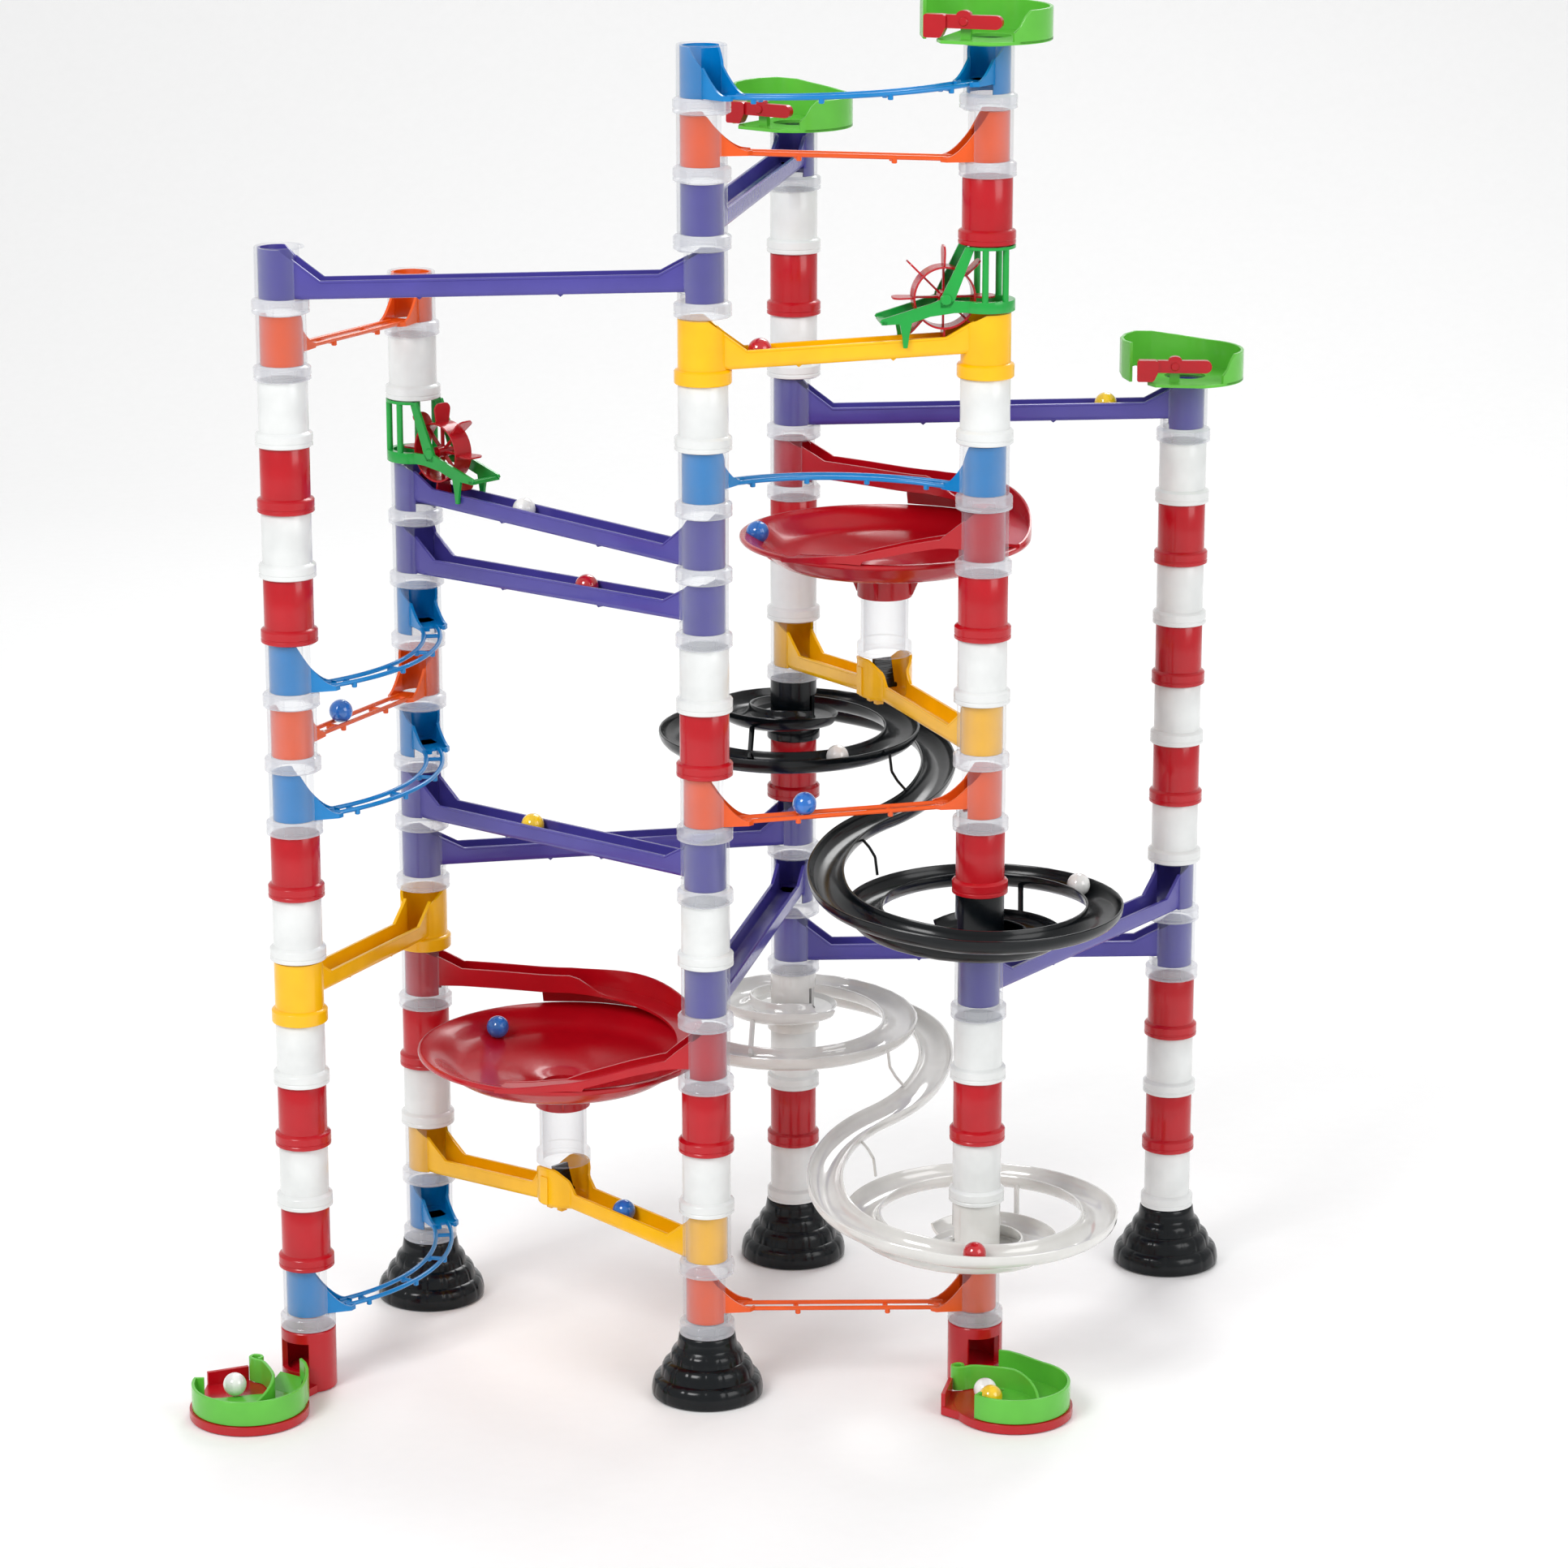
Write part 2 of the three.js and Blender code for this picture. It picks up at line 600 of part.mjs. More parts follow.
/** A U-shaped section; the left wall can hang below the floor and either wall can be low. */
function armSection(leftTop, rightTop, leftBottom) {
  const outer = CHANNEL.halfInner + CHANNEL.wall;
  const inner = CHANNEL.halfInner;
  return [
    [outer, leftBottom],
    [outer, leftTop],
    [inner, leftTop],
    [inner, CHANNEL.floor],
    [-inner, CHANNEL.floor],
    [-inner, rightTop],
    [-outer, rightTop],
    [-outer, 0],
    [inner, 0],
    [inner, leftBottom],
  ];
}

/**
 * An arm from the tower at the origin; the bowl's centre lies at x = reach, on its right. The inlet
 * arm has tall walls and runs on round the rim. The support arm at the other tower is low and short.
 */
function funnelArm(reach, funnelHeading, isInlet) {
  const turn = THREE.MathUtils.radToDeg(Math.asin(FUNNEL.armRadius / reach));
  const straight = reach * Math.cos(radians(turn));
  const stops = [];
  const rim = (z) => -z - 1;
  const inlet = [[WALL_START, 15, 21], [TUBE.outer, 15, 21], [26, 14.4, 11.6], [straight - 18, 11.4, 12]];
  const support = [[WALL_START, 15, 12], [TUBE.outer, 15, 9], [26, 13, 5.5], [straight - 18, 3, 4.5]];
  for (const [s, z, top] of isInlet ? inlet : support) {
    const point = heading(turn).multiplyScalar(s);
    stops.push({ x: point.x, y: point.y, z, section: armSection(top, top, -0.4) });
  }
  const steps = isInlet ? 5 : 1;
  for (let i = 0; i <= steps; i += 1) {
    const point = heading(turn + 90 - i * 20).multiplyScalar(FUNNEL.armRadius);
    const z = isInlet ? 10.5 - 2.1 * i : 0.4 - 1.4 * i;
    const section = isInlet
      ? armSection(15 - 2 * i, i === 0 ? 7 : 2.3, rim(z))
      : armSection(3.6, 2.3, rim(z));
    stops.push({ x: reach + point.x, y: point.y, z, section });
  }
  const start = block(0, 12, -CHANNEL.halfInner, CHANNEL.halfInner, 15, 15 + CHANNEL.floor);
  const sleeve = sleeveWithDoor({
    outside: false,
    railHeading: funnelHeading,
    doorTurn: turn,
    floorTop: 15 + CHANNEL.floor,
    closed: isInlet,
  });
  const pieces = [sweep(stops), sleeve];
  if (isInlet) pieces.push(start.rotate([0, 0, turn]));
  return { shape: joinAll(pieces), turn };
}

function makeFunnel({ from, to, level }) {
  const reach = spanBetween(from, to) / 2;
  const degrees = headingBetween(from, to);
  const { radius, depth, socketDrop, hole } = FUNNEL;
  const socket = TUBE.outer + 2;
  const bowl = turned([
    [hole, -23],
    [20, -20],
    [50, -14],
    [79, -8],
    [radius - 2.5, 0],
    [radius, 0],
    [radius, -3],
    [81, -11],
    [50, -17],
    [socket, -depth],
    [socket, -socketDrop],
    [TUBE.outer + GAP, -socketDrop],
    [TUBE.outer + GAP, -DROP.high + GAP],
    [hole, -DROP.high + GAP],
  ], 16);
  const shapes = [bowl.translate([reach, 0, 0])];
  for (const [end, spot] of [[0, from], [1, to]]) {
    const { shape, turn } = funnelArm(reach, degrees + 180 * end, end === 0);
    shapes.push(end ? shape.rotate([0, 0, 180]).translate([2 * reach, 0, 0]) : shape);
    addWindow(spot, level, degrees + 180 * end + turn, 15 - 0.9, SLEEVE.top + 0.6);
  }
  const name = `funnel_${from}${level}_to_${to}${level}`.toLowerCase();
  const spot = tower[from];
  return mesh(name, placed(joinAll(shapes), spot.x, spot.y, levelZ(level), degrees), COLOUR.red);
}

// ---- spirals ---------------------------------------------------------------------------

// Turn from the heading to the other tower (degrees), radius from the tower and underside height.
const SPIRAL_PATH = [
  [16, 27, 12],
  [-119, 37, 10],
  [-209, 52, 6],
  [-299, 68, 0],
  [-389, 74, -4],
  [-570, 74, -6],
  [-595, 77, -9],
  [-620, 84, -12],
  [-642, 87, -15],
  [-664, 90, -19],
  [-686, 99, -23],
  [-706, 114, -28],
];
const SPIRAL_MIDDLE = -30; // underside halfway between the towers, below the upper hub's level
const SPIRAL_DOOR = { turn: 52, upperFloor: 12.8, lowerFloor: 6.8 };

function spiralStops(reach) {
  const section = [
    [SPIRAL.halfWidth, SPIRAL.height],
    [SPIRAL.halfWidth - 1.8, SPIRAL.height],
    [SPIRAL.halfWidth - 1.8, 1.8],
    [1.8 - SPIRAL.halfWidth, 1.8],
    [1.8 - SPIRAL.halfWidth, SPIRAL.height],
    [-SPIRAL.halfWidth, SPIRAL.height],
    [-SPIRAL.halfWidth, 0],
    [SPIRAL.halfWidth, 0],
  ];
  const half = [];
  for (let i = 0; i + 1 < SPIRAL_PATH.length; i += 1) {
    const [a, b] = [SPIRAL_PATH[i], SPIRAL_PATH[i + 1]];
    const parts = Math.max(1, Math.round(Math.abs(b[0] - a[0]) / 40));
    for (let k = 0; k < parts; k += 1) {
      const [turn, radius, z] = a.map((value, n) => value + ((b[n] - value) * k) / parts);
      const point = heading(turn).multiplyScalar(radius);
      half.push({ x: point.x, y: point.y, z, section });
    }
  }
  const [turn, radius, z] = SPIRAL_PATH.at(-1);
  const last = heading(turn).multiplyScalar(radius);
  half.push({ x: last.x, y: last.y, z, section });
  const mirrored = half.map((stop) => ({
    x: 2 * reach - stop.x,
    y: -stop.y,
    z: 2 * SPIRAL_MIDDLE - stop.z,
    section,
  }));
  const middle = { x: reach, y: 0, z: SPIRAL_MIDDLE, section };
  return [...half, middle, ...mirrored.reverse()];
}

const HUB_DOOR_HEIGHT = 17;

/** A hub that takes the place of a tube, with a doorway and a plate round it. */
function spiralHub(spiralHeading, doorTurn, floor) {
  const door = block(0, 30, -CHANNEL.halfInner, CHANNEL.halfInner, floor, floor + HUB_DOOR_HEIGHT);
  const plate = ring(20, LINER.outer + 0.4, floor - 1.8, floor).rotate([0, 0, -spiralHeading]);
  const hub = endSleeve(true).rotate([0, 0, -spiralHeading]);
  return hub.add(plate).subtract(door.rotate([0, 0, doorTurn]));
}

function makeSpiral({ name, colour, from, fromLevel, to, toLevel }) {
  const reach = spanBetween(from, to) / 2;
  const degrees = headingBetween(from, to);
  const { turn, upperFloor, lowerFloor } = SPIRAL_DOOR;
  const drop = levelZ(toLevel) - levelZ(fromLevel);
  const lower = spiralHub(degrees, 180 + turn, lowerFloor).translate([2 * reach, 0, drop]);
  const upperStart = disc(LINER.bore - 0.4, upperFloor - 1.8, upperFloor).rotate([0, 0, -degrees]);
  const threshold = block(0, 24, -CHANNEL.halfInner, CHANNEL.halfInner, upperFloor - 1.8, upperFloor);
  const sill = block(FLOOR_END, 24, -CHANNEL.halfInner, CHANNEL.halfInner, lowerFloor - 1.8, lowerFloor);
  const body = joinAll([
    sweep(spiralStops(reach)),
    spiralHub(degrees, turn, upperFloor),
    upperStart,
    threshold.rotate([0, 0, turn]),
    lower,
    sill.rotate([0, 0, 180 + turn]).translate([2 * reach, 0, drop]),
  ]);
  addWindow(from, fromLevel, degrees + turn, upperFloor - 2.4, upperFloor + HUB_DOOR_HEIGHT + 1);
  addWindow(to, toLevel, degrees + 180 + turn, lowerFloor - 2.4, lowerFloor + HUB_DOOR_HEIGHT + 1);
  const spot = tower[from];
  const shape = placed(body, spot.x, spot.y, levelZ(fromLevel), degrees);
  return mesh(name, shape, COLOUR[colour], 0.25);
}

// ---- trays and gate levers ---------------------------------------------------------------

const LEVER = { pivotX: -7, front: -28, back: -24, rise: 12.5, pin: 1.5 };

function trayOutline(inset) {
  const outline = [];
  for (let degrees = -75; degrees <= 105; degrees += 30) {
    outline.push(heading(degrees).multiplyScalar(TRAY.radius - inset));
  }
  outline.push(new THREE.Vector2(-29 + inset / 2, 31 - inset));
  outline.push(new THREE.Vector2(-40 + inset, 4 - inset / 2));
  outline.push(new THREE.Vector2(-36 + inset / 2, -14 + inset));
  outline.push(new THREE.Vector2(-20 + inset / 2, -33 + inset));
  return outline;
}

/** The loading tray on top of a tower, with a collar that grips the top tube. */
function makeTray({ at, level, heading: degrees }) {
  const { floor, wallLow, wallHigh } = TRAY;
  const above = block(-60, 60, -60, 60, 0, 40).rotate([0, 5.5, 0]);
  const slantedTop = above.translate([0, 0, (wallLow + wallHigh) / 2]);
  const walls = prism(trayOutline(0), 0, wallHigh + 3).subtract(prism(trayOutline(2), floor, wallHigh + 9));
  const front = block(-60, 5, -60, -12, floor, 60);
  const body = walls.subtract(slantedTop).subtract(front);
  const post = block(LEVER.pivotX - 3, LEVER.pivotX + 3, LEVER.back + 0.5, LEVER.back + 4, 1, 17);
  const hole = crossBar(LEVER.pivotX, LEVER.rise, LEVER.pin + 0.4, LEVER.back, LEVER.back + 10);
  const grip = ring(TUBE.collar, TUBE.outer + GAP, -2.4, 0.5).rotate([0, 0, -degrees]);
  const opening = disc(TUBE.bore, -1, floor + 1).rotate([0, 0, -degrees]);
  const shape = body.add(post).subtract(hole).subtract(opening).add(grip);
  const spot = tower[at];
  const name = `tray_${at}`.toLowerCase();
  return mesh(name, placed(shape, spot.x, spot.y, levelZ(level), degrees), COLOUR.green);
}

/** The red lever along the front of a tray; it rocks on a pin. */
function makeGate({ at, level, heading: degrees }) {
  const outline = [
    [-30, 3],
    [-18, 3],
    [-17, 7.5],
    [13, 7.5],
    [16, 10.5],
    [16, 14.5],
    [13, 17.5],
    [-3, 17.5],
    [-7, 19.5],
    [-11, 17.5],
    [-30, 17],
  ];
  const bar = standingPlate(outline, LEVER.front, LEVER.back);
  const pin = crossBar(LEVER.pivotX, LEVER.rise, LEVER.pin, LEVER.back - 1, LEVER.back + 3.8);
  const spot = tower[at];
  const shape = placed(bar.add(pin), spot.x, spot.y, levelZ(level), degrees);
  return mesh(`gate_lever_${at}`.toLowerCase(), shape, COLOUR.red);
}

// ---- brackets and paddle wheels ------------------------------------------------------------

function makeBracket({ at, towards, level }) {
  const degrees = headingBetween(at, towards);
  const top = PITCH - GAP;
  const strut = [[8.5, top], [14, top], [28, 8], [28, 4], [22, 4]];
  const arm = [
    [8.5, 0.5], [8.5, 7], [22, 8], [28, 8], [62, -2.5], [62, -6], [51, -5], [50, -19], [46, -19], [45, -4],
  ];
  const sides = plateOnBothSides(strut, 9.4, 11.4).add(plateOnBothSides(arm, 9.4, 11.4));
  const mouth = block(0, 40, -7.3, 7.3, -1, 60);
  const rings = ring(TUBE.collar, TUBE.bore, GAP, 7).add(ring(TUBE.collar, TUBE.bore, top - 1.8, top));
  const body = joinAll([
    rings.rotate([0, 0, -degrees]).subtract(mouth),
    plateOnBothSides([[-2, 1], [2, 1], [2, top - 1], [-2, top - 1]], 12.6, 15.2),
    plateOnBothSides([[-11, 1], [-7.5, 1], [-7.5, top - 1], [-11, top - 1]], 9.6, 11.8),
    block(58.5, 62, -11.4, 11.4, -5.8, -3),
    sides,
  ]);
  const axleHole = crossBar(WHEEL.reach, WHEEL.rise, 1.9, -20, 20);
  const spot = tower[at];
  const name = `wheel_bracket_${at}`.toLowerCase();
  return mesh(name, placed(body.subtract(axleHole), spot.x, spot.y, levelZ(level), degrees), COLOUR.bracket);
}

function makeWheel({ at, towards, level }) {
  const half = WHEEL.width / 2;
  const rim = crossBar(0, 0, WHEEL.drum, -half, half, 8);
  const drum = rim.subtract(crossBar(0, 0, WHEEL.drum - 2, -half - 1, half + 1, 8));
  const web = crossBar(0, 0, WHEEL.drum - 1, -1.5, 1.5, 8);
  const axle = crossBar(0, 0, 1.5, -11.2, 11.2, 6);
  const paddles = [];
  for (let i = 0; i < 8; i += 1) {
    const paddle = block(WHEEL.drum - 1, WHEEL.tip, -half, half, -1, 1);
    paddles.push(paddle.rotate([0, 45 * i, 0]));
  }
  const degrees = headingBetween(at, towards);
  const centre = tower[at].clone().addScaledVector(heading(degrees), WHEEL.reach);
  const shape = joinAll([drum, web, axle, ...paddles]);
  const z = levelZ(level) + WHEEL.rise;
  return mesh(`paddle_wheel_${at}`.toLowerCase(), placed(shape, centre.x, centre.y, z, degrees), COLOUR.red);
}

// ---- bases, exit blocks and collectors -------------------------------------------------------

function makeBase(at) {
  const bell = turned([
    [0, FOOT_HEIGHT],
    [TUBE.collar, FOOT_HEIGHT],
    [18, 31],
    [24, 27],
    [25.5, 18],
    [31, 13],
    [33.5, 4],
    [33.5, 0],
    [0, 0],
  ], 12);
  return mesh(`base_${at}`.toLowerCase(), placed(bell, tower[at].x, tower[at].y, 0), COLOUR.black, 0.15);
}

/** The red block under a tower: the marble drops in and leaves sideways over its plate. */
function makeExitBlock({ at, heading: degrees }) {
  const { distance, radius, plate } = COLLECTOR;
  const column = disc(TUBE.outer + 2, 0, FOOT_HEIGHT, 12);
  const bore = disc(TUBE.bore, 13, FOOT_HEIGHT + 1, 8);
  const door = block(0, 20, -8, 8, 13, 31);
  const foot = disc(radius, 0, plate, 16).translate([distance, 0, 0]);
  const neck = block(0, distance, -14, 14, 0, plate);
  const fence = prism(COLLECTOR.fence.map(([x, y]) => new THREE.Vector2(x, y)), 0, COLLECTOR.fenceTop);
  const apron = prism(COLLECTOR.apron.map(([x, y]) => new THREE.Vector2(x, y)), 0, plate);
  const body = joinAll([column, foot, neck, fence, apron]).subtract(bore).subtract(door);
  const spot = tower[at];
  return mesh(`exit_block_${at}`.toLowerCase(), placed(body, spot.x, spot.y, 0, degrees), COLOUR.red);
}

/** The green tray on the plate: a ramp from the block's doorway and a round pool. */
function makeCollector({ at, heading: degrees }) {
  const { distance, radius, plate } = COLLECTOR;
  const rest = plate + GAP;
  const { rim } = COLLECTOR;
  const pool = disc(radius - 1.5, rest, rim, 16).subtract(disc(radius - 3.5, rest + 1.8, rim + 9, 16));
  const doorway = block(-60, -19, -28, 27, rest + 1.8, rim + 9);
  const bay = block(-60, 12, -60, -20, rest + 1.8, rim + 9);
  const round = pool.subtract(doorway).subtract(bay).translate([distance, 0, 0]);
  const ramp = standingPlate([[17.5, rest], [46, rest], [46, rest + 1.8], [17.5, 12.8]], -8.5, 8.5);
  const wall = (stops) => sweep(stops.map(([x, y, top]) => ({
    x,
    y,
    z: rest,
    section: [[-0.9, 0], [0.9, 0], [0.9, top - rest], [-0.9, top - rest]],
  })));
  const outer = wall([[17.6, 8], [24, 17], [33, 23.5], [38.5, 26.5]].map(([x, y]) => [x, y, rim]));
  const curl = [[22, -24, rim], [22.5, -15, rim], [30, -8.5, rim]];
  const inner = wall([...curl, [39, 4, 17], [53, 11, 14], [66, 11, 12]]);
  const under = prism([[17.6, 7.5], [24, 17], [38, 26], [42, -26], [22, -24], [17.6, -12]].map(([x, y]) => (
    new THREE.Vector2(x, y))), rest, rest + 1.8);
  const body = joinAll([round, ramp, outer, inner, under]);
  const column = disc(TUBE.outer + 2.6, 0, FOOT_HEIGHT, 12);
  const spot = tower[at];
  const shape = placed(body.subtract(column), spot.x, spot.y, 0, degrees);
  return mesh(`collector_${at}`.toLowerCase(), shape, COLOUR.green);
}

// ---- rolling marbles ------------------------------------------------------------------------

// Two of the marbles ride on the short straight rails; the share is measured from the high tower.
const MARBLES = [
  { name: 'marble_red', colour: 'red', from: 'E', to: 'C', level: 16, share: 0.8 },
  { name: 'marble_yellow', colour: 'yellow', from: 'F', to: 'D', level: 14, share: 0.2 },
];

function makeMarble({ name, colour, from, to, level, share }) {
  const span = spanBetween(from, to);
  const spot = tower[from].clone().addScaledVector(heading(headingBetween(from, to)), span * share);
  const under = slope(span * share, span, RAIL.highUnderside, RAIL.lowUnderside);
  const z = levelZ(level) + under + CHANNEL.floor + MARBLE_RADIUS + GAP;
  const ball = solid(new THREE.IcosahedronGeometry(MARBLE_RADIUS, 1));
  return mesh(name, ball.translate([spot.x, spot.y, z]), COLOUR[colour], 0.1);
}

// ---- assembly --------------------------------------------------------------------------------

const group = new THREE.Group();
group.name = 'marble_run';

const pieces = [
  ...RAILS.map(makeRail),
  ...FORKS.map(makeFork),
  ...FUNNELS.map(makeFunnel),
  ...SPIRALS.map(makeSpiral),
  ...FORKS.map(makeFlap),
  ...FUNNELS.map(makeDropTube),
  ...TRAYS.map(makeTray),
  ...TRAYS.map(makeGate),
  ...BRACKETS.map(makeBracket),
  ...BRACKETS.map(makeWheel),
  ...['B', 'C', 'D', 'F'].map(makeBase),
  ...COLLECTORS.map(makeExitBlock),
  ...COLLECTORS.map(makeCollector),
  ...MARBLES.map(makeMarble),
];
// The tubes come last: by now every rail has asked for its windows.
pieces.push(...STACKS.map(tubeStack));

const bounds = new THREE.Box3();
for (const piece of pieces) {
  piece.geometry.computeBoundingBox();
  bounds.union(piece.geometry.boundingBox);
}
for (const piece of pieces) {
  piece.position.set(-(bounds.min.x + bounds.max.x) / 2, -(bounds.min.y + bounds.max.y) / 2, -bounds.min.z);
  group.add(piece);
}

export default group;
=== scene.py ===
"""Marble run: the looks of every tube, rail, funnel, spiral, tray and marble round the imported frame.

Lengths here are in millimetres until a mesh is made; Piece.build turns them into metres.
"""
import math

import bmesh
import bpy
from mathutils import Matrix, Vector


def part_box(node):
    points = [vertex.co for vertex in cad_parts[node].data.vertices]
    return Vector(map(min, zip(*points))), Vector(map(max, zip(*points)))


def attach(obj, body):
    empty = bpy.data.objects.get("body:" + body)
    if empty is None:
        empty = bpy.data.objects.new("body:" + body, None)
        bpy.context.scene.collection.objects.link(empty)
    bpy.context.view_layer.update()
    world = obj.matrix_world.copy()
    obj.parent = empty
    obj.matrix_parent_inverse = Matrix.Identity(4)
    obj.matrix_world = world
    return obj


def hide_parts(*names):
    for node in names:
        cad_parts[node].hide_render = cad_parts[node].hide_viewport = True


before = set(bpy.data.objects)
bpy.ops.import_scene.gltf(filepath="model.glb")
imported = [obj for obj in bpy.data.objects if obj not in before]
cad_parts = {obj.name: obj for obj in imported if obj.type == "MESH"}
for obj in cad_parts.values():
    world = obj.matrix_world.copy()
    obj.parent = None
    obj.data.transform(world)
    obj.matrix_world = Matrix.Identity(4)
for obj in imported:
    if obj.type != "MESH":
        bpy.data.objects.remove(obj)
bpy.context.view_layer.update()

# ---- sizes, in millimetres ----

MM = 0.001
PITCH = 38.5            # height that one tube adds to a tower
FOOT = 38.0             # bases and exit blocks, up to the bottom of level 1
TUBE_R, BORE_R = 14.5, 12.7
COLLAR_R = 16.6
COLLAR_TOP = 9.0        # height of a tube's collar
SLEEVE_OUT, SLEEVE_IN = 12.4, 10.9
CHANNEL_IN, CHANNEL_OUT = 7.3, 8.9      # half widths of a trough
FLOOR_T = 1.8           # thickness of a rail's floor
HIGH_UNDER, LOW_UNDER = 14.5, 8.5       # underside of a rail at its two towers
WALL_H = 11.0           # height of a trough's walls
SLEEVE_TOP = 37.6
GUSSET_END = 21.5       # where a trough's slanted gusset meets its rim, from the tower's axis
WIRE_R = 1.35
WIRE_OFF = 4.9          # each wire's distance from the middle of its rail
WIRE_TURN = 50.0        # heading of a curved rail's ends, in degrees from the straight line
WIRE_HIGH, WIRE_LOW = 16.2, 10.4        # middle of the wires at their two towers
WIRE_REACH, WIRE_CURVE = 25.0, 1.6      # the gusset at the end of a wire rail
FUNNEL_R = 87.5
ARM_R = 79.0            # a funnel's arm meets its rim at this radius
ARM_FLOOR = 15.0
MARBLE_R = 7.0
SEAT = 41.2             # top of a fork's cheeks above the bottom of its level
PEAK = 16.0             # underside of a fork at its middle
PIN_R = 1.5             # pins of the flaps, levers and wheels


def middle_of(node):
    low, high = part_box(node)
    return (low + high) / 2 / MM


TOWER_NODES = {
    "A": "tower_a_tubes", "B": "tower_b_lower_tubes", "C": "tower_c_tubes",
    "D": "tower_d_tubes", "E": "tower_e_lower_tubes", "F": "tower_f_tubes",
}
TOWER = {key: middle_of(node).xy for key, node in TOWER_NODES.items()}


def level_z(level):
    return FOOT + (level - 1) * PITCH


def heading(a, b):
    step = TOWER[b] - TOWER[a]
    return math.degrees(math.atan2(step.y, step.x))


def span(a, b):
    return (TOWER[b] - TOWER[a]).length


def halfway(a, b):
    return (TOWER[a] + TOWER[b]) / 2


def polar(radius, degrees):
    return radius * math.cos(math.radians(degrees)), radius * math.sin(math.radians(degrees))


def circle(radius, count, x=0.0):
    """Plan outline of a round piece whose middle is x out from the tower's axis."""
    return [(x + px, py) for px, py in (polar(radius, 360 * k / count) for k in range(count))]


def arc(x, z, half_x, half_z, first, last, step):
    """Points (x, z) of an arc of an ellipse; angles in whole degrees."""
    turns = [math.radians(t) for t in range(first, last + 1, step)]
    return [(x + half_x * math.cos(t), z + half_z * math.sin(t)) for t in turns]


def mirrored(right):
    """Closes the right half of a section, from the middle bottom round to the middle top."""
    return right + [(-u, v) for u, v in right[1:-1]][::-1]


def ease(t):
    t = min(max(t, 0.0), 1.0)
    return t * t * (3 - 2 * t)


def at(table, x):
    """Straight-line interpolation in a list of (x, value) pairs."""
    for (x0, y0), (x1, y1) in zip(table, table[1:]):
        if x <= x1:
            return y0 + (y1 - y0) * max(x - x0, 0) / (x1 - x0)
    return table[-1][1]


# ---- materials ----

def srgb(red, green, blue):
    def linear(value):
        value /= 255
        return value / 12.92 if value <= 0.04045 else ((value + 0.055) / 1.055) ** 2.4

    return (linear(red), linear(green), linear(blue), 1.0)


def tint(colour, factor):
    return tuple(min(channel * factor, 1.0) for channel in colour[:3]) + (1.0,)


def base_material(name):
    material = bpy.data.materials.new(name)
    material.use_nodes = True
    nodes, links = material.node_tree.nodes, material.node_tree.links
    return material, nodes, links, nodes["Principled BSDF"]


def settings(node, values):
    for socket, value in values.items():
        node.inputs[socket].default_value = value


def mottle(nodes, links, scale, detail=3.0):
    """Object-space noise, the same from every side."""
    place = nodes.new("ShaderNodeTexCoord")
    noise = nodes.new("ShaderNodeTexNoise")
    settings(noise, {"Scale": scale, "Detail": detail})
    links.new(place.outputs["Object"], noise.inputs["Vector"])
    return noise


def two_tints(nodes, links, shader, pattern, colour, dark, light):
    """A base colour that wanders between two tints of one colour."""
    ramp = nodes.new("ShaderNodeValToRGB")
    for element, position, factor in zip(ramp.color_ramp.elements, (0.3, 0.7), (dark, light)):
        element.position = position
        element.color = tint(colour, factor)
    links.new(pattern.outputs["Fac"], ramp.inputs["Fac"])
    links.new(ramp.outputs["Color"], shader.inputs["Base Color"])


def vary(nodes, links, driver, low, high):
    spread = nodes.new("ShaderNodeMapRange")
    settings(spread, {"To Min": low, "To Max": high})
    links.new(driver, spread.inputs["Value"])
    return spread.outputs["Result"]


def add_bump(nodes, links, shader, scale, strength):
    noise = mottle(nodes, links, scale, 2.0)
    bump = nodes.new("ShaderNodeBump")
    settings(bump, {"Strength": strength, "Distance": 0.0002})
    links.new(noise.outputs["Fac"], bump.inputs["Height"])
    links.new(bump.outputs["Normal"], shader.inputs["Normal"])


def moulded_plastic(name, colour, rough=0.22, glow=0.0, coat=0.18, shine=0.42):
    """Glossy injection-moulded plastic with faint flow marks in its colour and gloss."""
    material, nodes, links, shader = base_material(name)
    flow = mottle(nodes, links, 45.0)
    two_tints(nodes, links, shader, flow, colour, 0.93, 1.06)
    fine = mottle(nodes, links, 260.0)
    gloss = vary(nodes, links, fine.outputs["Fac"], rough - 0.05, rough + 0.08)
    links.new(gloss, shader.inputs["Roughness"])
    settings(shader, {
        "Specular IOR Level": shine, "Coat Weight": coat, "Coat Roughness": 0.08,
        "Subsurface Weight": glow, "Subsurface Radius": (0.004, 0.004, 0.004),
        "Subsurface Scale": 1.0,
    })
    add_bump(nodes, links, shader, 700.0, 0.05)
    return material


def clear_plastic(name, colour, thin, edge):
    """See-through plastic: nearly clear face on, denser where the wall is seen edge on."""
    material, nodes, links, shader = base_material(name)
    facing = nodes.new("ShaderNodeLayerWeight")
    facing.inputs["Blend"].default_value = 0.35
    links.new(vary(nodes, links, facing.outputs["Facing"], thin, edge), shader.inputs["Alpha"])
    cloud = mottle(nodes, links, 60.0)
    two_tints(nodes, links, shader, cloud, colour, 0.95, 1.04)
    links.new(vary(nodes, links, cloud.outputs["Fac"], 0.05, 0.14), shader.inputs["Roughness"])
    settings(shader, {"Specular IOR Level": 0.8, "Coat Weight": 0.5, "Coat Roughness": 0.04})
    add_bump(nodes, links, shader, 300.0, 0.04)
    return material


